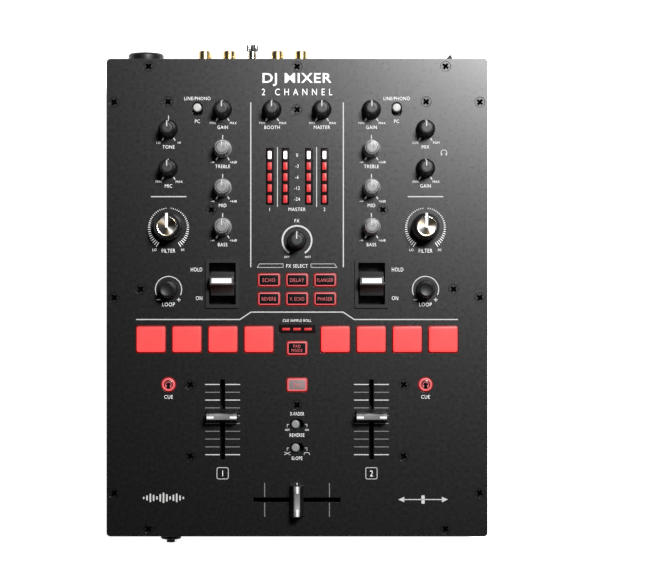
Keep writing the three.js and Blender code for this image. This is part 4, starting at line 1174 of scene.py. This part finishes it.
TRAY_LOW, TRAY_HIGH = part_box("chassis_tray")
WALL_X = TRAY_HIGH.x / MM
WALL_FRONT = TRAY_LOW.y / MM - PANEL_Y
WALL_REAR = -WALL_FRONT
FLOOR = 8 - PANEL_Z
WALL_TOP = TRAY_HIGH.z / MM - PANEL_Z
SHEET = 1.2
RCA_X = (-63.2, -46.6, -13.9, 2.3)
RCA_Z = (50 - PANEL_Z, 64 - PANEL_Z)
GROUND = (-30.7, 65 - PANEL_Z)
MIC = (-103.6, 58 - PANEL_Z)
MIC_SCREW = (9.6, 12.2)
FOOT_X = 100
FOOT_Y = 132
PHONES = (-86.0, 65 - PANEL_Z)
POWER = (100.7, 65 - PANEL_Z)
USB = (40.0, 47.1 - PANEL_Z)
INLET = (62.0, 47.1 - PANEL_Z)


def wall(bm, outline, holes, rear):
    """A wall drawn as (x, z), with its rear face at y = rear."""
    flat = new_shape()
    sheet(flat, outline, holes, 0, SHEET)
    turn_shape(flat, "X", 90, (0, rear, 0))
    merge(bm, flat)


def tray():
    bm = new_shape()
    outline = [(-WALL_X, FLOOR), (WALL_X, FLOOR), (WALL_X, WALL_TOP), (-WALL_X, WALL_TOP)]
    rear_holes = [circle(4.7, x, z) for x in RCA_X for z in RCA_Z]
    rear_holes += [rounded(12.6, 11.6, 0.6, *USB), circle(4.7, *INLET), circle(11.6, *MIC),
                   rounded(20.1, 13.6, 0.6, *POWER)]
    wall(bm, outline, rear_holes, WALL_REAR)
    wall(bm, outline, [circle(4.65, *PHONES)], WALL_FRONT + SHEET)
    inner = (2 * WALL_X - 2 * SHEET - 0.1, 2 * WALL_REAR - 2 * SHEET - 0.1)
    for sign in (-1, 1):
        prism(bm, rounded(SHEET, inner[1], 0.1, sign * (WALL_X - SHEET / 2), 0), FLOOR, WALL_TOP)
    prism(bm, rounded(*inner, 0.5), FLOOR, FLOOR + SHEET)
    lip = rounded(2 * WALL_X - 0.2, 2 * WALL_REAR - 0.2, 0.5)
    sheet(bm, lip, [rounded(2 * WALL_X - 20, 2 * WALL_REAR - 20, 0.5)], WALL_TOP - SHEET, WALL_TOP)
    fixed("tray_shell", bm, CASE, ["chassis_tray"], bevel=0.25)


def feet():
    bm, screws = new_shape(), new_shape()
    for sx in (-1, 1):
        for sy in (-1, 1):
            x, y = sx * FOOT_X, sy * FOOT_Y - PANEL_Y
            bottom = -PANEL_Z
            profile = fillet([(0, FLOOR), (12, FLOOR), (10.6, bottom), (5, bottom), (4.4, bottom + 3.5),
                              (0, bottom + 3.5)], 0.9)
            lathe(bm, profile, 64, x, y)
            foot_screw = new_shape()
            cross_screw(foot_screw, 0, 0, radius=3.2, top=0, sink=1.2)
            turn_shape(foot_screw, "X", 180, (x, y, bottom + 2.9))
            merge(screws, foot_screw)
    fixed("feet", bm, RUBBER, ["chassis_tray"])
    fixed("foot_screws", screws, SCREW_BLACK)


def rear_turned(profile, x, z, sides=48, **options):
    """A profile of (radius, reach) turned about an axis that points out of the rear wall."""
    bm = new_shape()
    lathe(bm, profile, sides, **options)
    turn_shape(bm, "X", -90, (x, WALL_REAR, z))
    return bm


def rear_layers(x, z, *layers):
    """Flat shapes stacked out of the rear wall, each an (outline, holes, from, to)."""
    bm = new_shape()
    for layer in layers:
        sheet(bm, *layer)
    turn_shape(bm, "X", -90, (x, WALL_REAR, z))
    return bm


def phono_sockets():
    barrels, rings_white, rings_red, blocks = (new_shape() for _ in range(4))
    for x in RCA_X:
        for row, z in enumerate(RCA_Z):
            barrel = fillet([(1.7, 0.0), (1.7, 8.2), (2.3, 8.9), (3.9, 8.9), (4.15, 8.5), (4.15, 1.6),
                             (4.6, 1.6), (4.6, 0.4)], 0.15)
            merge(barrels, rear_turned(closed([*barrel, (4.6, -1.0), (1.7, -1.0)]), x, z))
            collar = fillet([(4.65, 0.05), (6.3, 0.05), (6.3, 1.0), (5.8, 1.4), (4.65, 1.4)], 0.2)
            merge(rings_red if row == 0 else rings_white, rear_turned(closed(collar), x, z))
        low, high = RCA_Z[0] - 8.5, RCA_Z[1] + 7.5
        y = WALL_REAR - SHEET - 5.3
        soft_block(blocks, 13, 10, 0.5, low, high, 0.3, x, y)
    fixed("phono_barrels", barrels, GOLD, ["jack_board"])
    fixed("phono_collars_white", rings_white, WHITE_PLASTIC, ["jack_board"])
    fixed("phono_collars_red", rings_red, RED_PLASTIC, ["jack_board"])
    fixed("phono_blocks", blocks, BLACK_PLASTIC, ["jack_board"])


def lower_board():
    bm = new_shape()
    top = 41.6 - PANEL_Z
    rear = WALL_REAR - SHEET - 1
    prism(bm, rounded(150, rear - 118, 1.0, 1, (rear + 118) / 2), top - 1.6, top)
    fixed("lower_board", bm, BOARD, ["jack_board"])
    bm = new_shape()
    for x in (-68, 70):
        for y in (124, rear - 6):
            low, high = FLOOR + SHEET + 0.3, top - 1.62
            lathe(bm, [(0, low), (3, low), (3, high), (0, high)], 6, x, y)
    fixed("board_legs", bm, STEEL, ["jack_board"])


def data_and_power_sockets():
    x, z = USB
    frame_outline, socket = rounded(12, 11, 0.5, x, z), rounded(8.6, 7.8, 0.9, x, z)
    shell = new_shape()
    sheet(shell, frame_outline, [socket], 0, 14)
    turn_shape(shell, "X", 90, (0, WALL_REAR + 0.5, 0))
    fixed("data_socket_shell", shell, NICKEL, ["jack_board"], bevel=0.2)
    tongue = new_shape()
    sheet(tongue, rounded(5.4, 3.2, 0.4, x, z), [], 0, 11)
    turn_shape(tongue, "X", 90, (0, WALL_REAR - 2, 0))
    back = new_shape()
    sheet(back, rounded(8.5, 7.7, 0.8, x, z), [], 0, 2)
    turn_shape(back, "X", 90, (0, WALL_REAR - 11.6, 0))
    merge(tongue, back)
    fixed("data_socket_tongue", tongue, WHITE_PLASTIC, ["jack_board"])
    x, z = INLET
    nose = fillet([(3.1, -9.0), (3.1, 0.2), (3.4, 0.5), (4.4, 0.5), (4.4, -10.0), (3.1, -10.0)], 0.1)
    fixed("power_inlet_nose", rear_turned(closed(nose), x, z), BLACK_PLASTIC,
          ["jack_board"])
    pin = rear_turned([(0, -10.2), (4.3, -10.2), (4.3, -10.05), (1.0, -10.05), (1.0, -1.3), (0.7, -0.9),
                       (0, -0.8)], x, z, 24)
    fixed("power_inlet_pin", pin, NICKEL, ["jack_board"])


def mic_socket():
    x, z = MIC
    screw_holes = [circle(1.6, sign * MIC_SCREW[0], sign * MIC_SCREW[1], 20) for sign in (1, -1)]
    flange = rear_layers(x, z, (rounded(26, 31, 3), [circle(11.4), *screw_holes], 0.3, 2.3))
    fixed("mic_flange", flange, BLACK_PLASTIC, ["mic_jack"], bevel=0.3)
    shell = fillet([(9.6, -6.0), (9.6, 6.8), (10.4, 7.8), (11.1, 7.8), (12.1, 6.6), (12.1, 2.4), (11.0, 2.4),
                    (11.0, -25), (9.6, -25)], 0.25)
    fixed("mic_shell", rear_turned(closed(shell), x, z, 64), BLACK_PLASTIC,
          ["mic_jack"])
    pins = [circle(1.25, 5.0 * math.sin(angle), 5.0 * math.cos(angle), 16)
            for angle in (0, math.radians(120), math.radians(240))]
    insert = rear_layers(x, z, (circle(7.2, sides=48), [circle(3.3), *pins], -6.0, 6.5),
                         (circle(9.55, sides=48), [circle(3.3)], -8.0, -6.0),
                         (circle(9.55, sides=48), [], -22.5, -22.0))
    fixed("mic_insert", insert, DEEP_BLACK, ["mic_jack"], bevel=0.15)
    sleeve = [(3.3, -21.9), (3.9, -21.9), (3.9, -8.1), (3.3, -8.1), (3.3, -21.9)]
    fixed("mic_sleeve", rear_turned(sleeve, x, z), NICKEL, ["mic_jack"])
    screws = new_shape()
    for sx in (-1, 1):
        screw = new_shape()
        cross_screw(screw, 0, 0, radius=2.4, top=2.75, sink=0.4, turn=30)
        turn_shape(screw, "X", -90, (x + sx * MIC_SCREW[0], WALL_REAR, z - sx * MIC_SCREW[1]))
        merge(screws, screw)
    fixed("mic_screws", screws, SCREW_BLACK)


def phones_socket():
    x, z = PHONES

    def front_turned(profile, sides=48, **options):
        bm = new_shape()
        lathe(bm, profile, sides, **options)
        turn_shape(bm, "X", 90, (x, WALL_FRONT, z))
        return bm

    bushing = fillet([(3.3, -22), (3.3, 7.3), (3.6, 7.7), (4.05, 7.4), (4.05, -2), (6, -2), (6, -25.5),
                      (0, -25.5)], 0.15)
    fixed("phones_bushing", front_turned([(0, -22), *bushing]), NICKEL, ["phones_jack"])
    nut = [(4.2, 0.9), (7.0, 0.9, 1), (7.0, 4.6, 1), (6.3, 5.3), (4.2, 5.3), (4.2, 0.9)]
    fixed("phones_nut", front_turned(nut, 120, flutes=40, depth=0.35), BLACK_PLASTIC,
          ["phones_jack"])
    washer = fillet([(4.3, 0.05), (7.6, 0.05), (7.6, 0.5), (7.3, 0.8), (4.3, 0.8)], 0.1)
    fixed("phones_washer", front_turned(closed(washer)), NICKEL)


def power_switch():
    x, z = POWER
    bezel = rear_layers(x, z, (rounded(21.7, 15, 1.2), [rounded(17.5, 11, 0.6)], 0.3, 2.9))
    fixed("power_bezel", bezel, BLACK_PLASTIC, ["power_switch_housing"], bevel=0.5)
    outline = rounded(19.5, 13, 0.6)
    body = rear_layers(x, z, (outline, [rounded(17.5, 11, 0.5)], -9, 0.4), (outline, [], -18, -9))
    fixed("power_body", body, BLACK_PLASTIC, ["power_switch_housing"], bevel=0.2)
    pivot, radius, ridge, tilt = -6.0, 9.0, 12.2, -14
    arc = [(radius * math.sin(angle), radius * math.cos(angle))
           for angle in map(math.radians, range(55, 10, -5))]
    crest = [(1.6, radius + 1.2), (0.7, ridge - 0.35), (0.0, ridge)]
    outline = arc + crest + [(-px, py) for px, py in reversed(arc + crest[:-1])]
    rocker = new_shape()
    sheet(rocker, outline + [(-4, -1.8), (4, -1.8)], [], -5.2, 5.2)
    turn_shape(rocker, "Z", tilt, (x, WALL_REAR + pivot, z))
    moving("power_rocker", "key", rocker, GLOSS_BLACK, bevel=0.3)
    pins = new_shape()
    lathe(pins, [(0, -6.25), (1.2, -6.25), (1.2, 6.25), (0, 6.25)], 24)
    shift(pins, (x, WALL_REAR + pivot, z))
    moving("power_rocker", "pin", pins, STEEL)


def ground_terminal():
    x, z = GROUND
    post = fillet([(0, -1.2), (4.2, -1.2), (4.2, 0.0), (3.0, 0.4), (3.0, 4.6), (2.0, 4.6), (2.0, 12.0),
                   (1.7, 12.3), (0, 12.3)], 0.1)
    fixed("ground_post", rear_turned(post, x, z), NICKEL, ["chassis_tray"])
    sleeve = fillet([(2.3, 4.9), (2.9, 4.9), (3.0, 5.0), (3.0, 8.1), (2.9, 8.2), (2.3, 8.2)], 0.08)
    piece("ground_sleeve", rear_turned(closed(sleeve), x, z), NICKEL, "ground_washer",
          ["ground_washer"])
    nut = [(2.3, 8.5), (3.4, 8.5), (3.85, 8.8, 1), (3.85, 12.6, 1), (3.4, 13.1), (2.7, 13.1), (2.3, 12.8),
           (2.3, 8.5)]
    piece("ground_knob", rear_turned(nut, x, z, 120, flutes=30, depth=0.35), NICKEL, "ground_nut",
          ["ground_nut"])


def rear_legends():
    """Generic names under the sockets, each read from its own side."""
    bm = new_shape()
    under_phono = RCA_Z[0] - 10
    for text, x, z in (("MIC", MIC[0], MIC[1] - 19), ("CH 1", RCA_X[0], under_phono),
                       ("CH 2", RCA_X[1], under_phono), ("GROUND", GROUND[0], GROUND[1] - 9),
                       ("BOOTH", RCA_X[2], under_phono), ("MASTER", RCA_X[3], under_phono),
                       ("USB", USB[0], USB[1] - 10), ("POWER IN", INLET[0], INLET[1] - 10),
                       ("POWER", POWER[0], POWER[1] - 12)):
        word = letters(text, WALL_LABEL)
        turn_shape(word, "X", 90)
        turn_shape(word, "Z", 180, (x, WALL_REAR, z))
        merge(bm, word)
    fixed("rear_legends", bm, WHITE_INK)
    word = letters("PHONES", WALL_LABEL)
    turn_shape(word, "X", 90, (PHONES[0], WALL_FRONT, PHONES[1] - 12))
    fixed("front_legend", word, WHITE_INK)


# ---- CAD nodes that stay

def repaint(name, material):
    obj = frame["nodes"][name]
    obj.data.materials.clear()
    obj.data.materials.append(material)


def kept_nodes():
    repaint("control_board", BOARD)
    # The crossfader unit's rods are painted near-black as shade in the slot.
    repaint("crossfader_unit", SLOT_SHADE_STEEL)
    for side in (1, 2):
        repaint(f"loop_rotor_{side}", NICKEL)


# ---- stage, light and camera

def backdrop():
    bm = new_shape()
    bm.faces.new(ring_verts(bm, bar(-FLOOR_HALF, -FLOOR_HALF, FLOOR_HALF, FLOOR_HALF), -PANEL_Z - 0.05))
    bmesh.ops.transform(bm, matrix=TO_WORLD, verts=bm.verts)
    mesh = bpy.data.meshes.new("floor")
    bm.to_mesh(mesh)
    bm.free()
    mesh.materials.append(finish("pale_floor", (0.86, 0.86, 0.86), 0.9, grain=20, relief=0.0, mottle=0.01,
                                 specular=0.1, glow=FLOOR_GLOW))
    floor = bpy.data.objects.new("floor", mesh)
    bpy.context.scene.collection.objects.link(floor)


def lights():
    world = bpy.data.worlds.new("studio")
    bpy.context.scene.world = world
    world.use_nodes = True
    background = world.node_tree.nodes["Background"]
    background.inputs["Color"].default_value = (1, 1, 1, 1)
    background.inputs["Strength"].default_value = ROOM_STRENGTH
    key = bpy.data.lights.new("key", "AREA")
    key.shape = "SQUARE"
    key.size = KEY_SIZE
    key.energy = KEY_POWER
    holder = bpy.data.objects.new("key", key)
    holder.location = KEY_PLACE
    way = Vector(KEY_TARGET) - Vector(KEY_PLACE)
    holder.rotation_euler = way.to_track_quat("-Z", "Y").to_euler()
    bpy.context.scene.collection.objects.link(holder)


def camera():
    bpy.context.scene.view_settings.view_transform = "Standard"
    lens = bpy.data.cameras.new("camera")
    lens.lens = FOCAL_LENGTH
    lens.sensor_width = SENSOR
    holder = bpy.data.objects.new("camera", lens)
    holder.location = (CAMERA_X * MM, (PANEL_Y + CAMERA_Y) * MM, (PANEL_Z + CAMERA_HEIGHT) * MM)
    bpy.context.scene.collection.objects.link(holder)
    bpy.context.scene.camera = holder


# ---- make it all

camera()
lights()
backdrop()
top_plate()
plate_screws()
legends()
knobs()
pads()
buttons()
meters()
faders()
switches()
paddles()
tray()
feet()
phono_sockets()
lower_board()
data_and_power_sockets()
mic_socket()
phones_socket()
power_switch()
ground_terminal()
rear_legends()
kept_nodes()
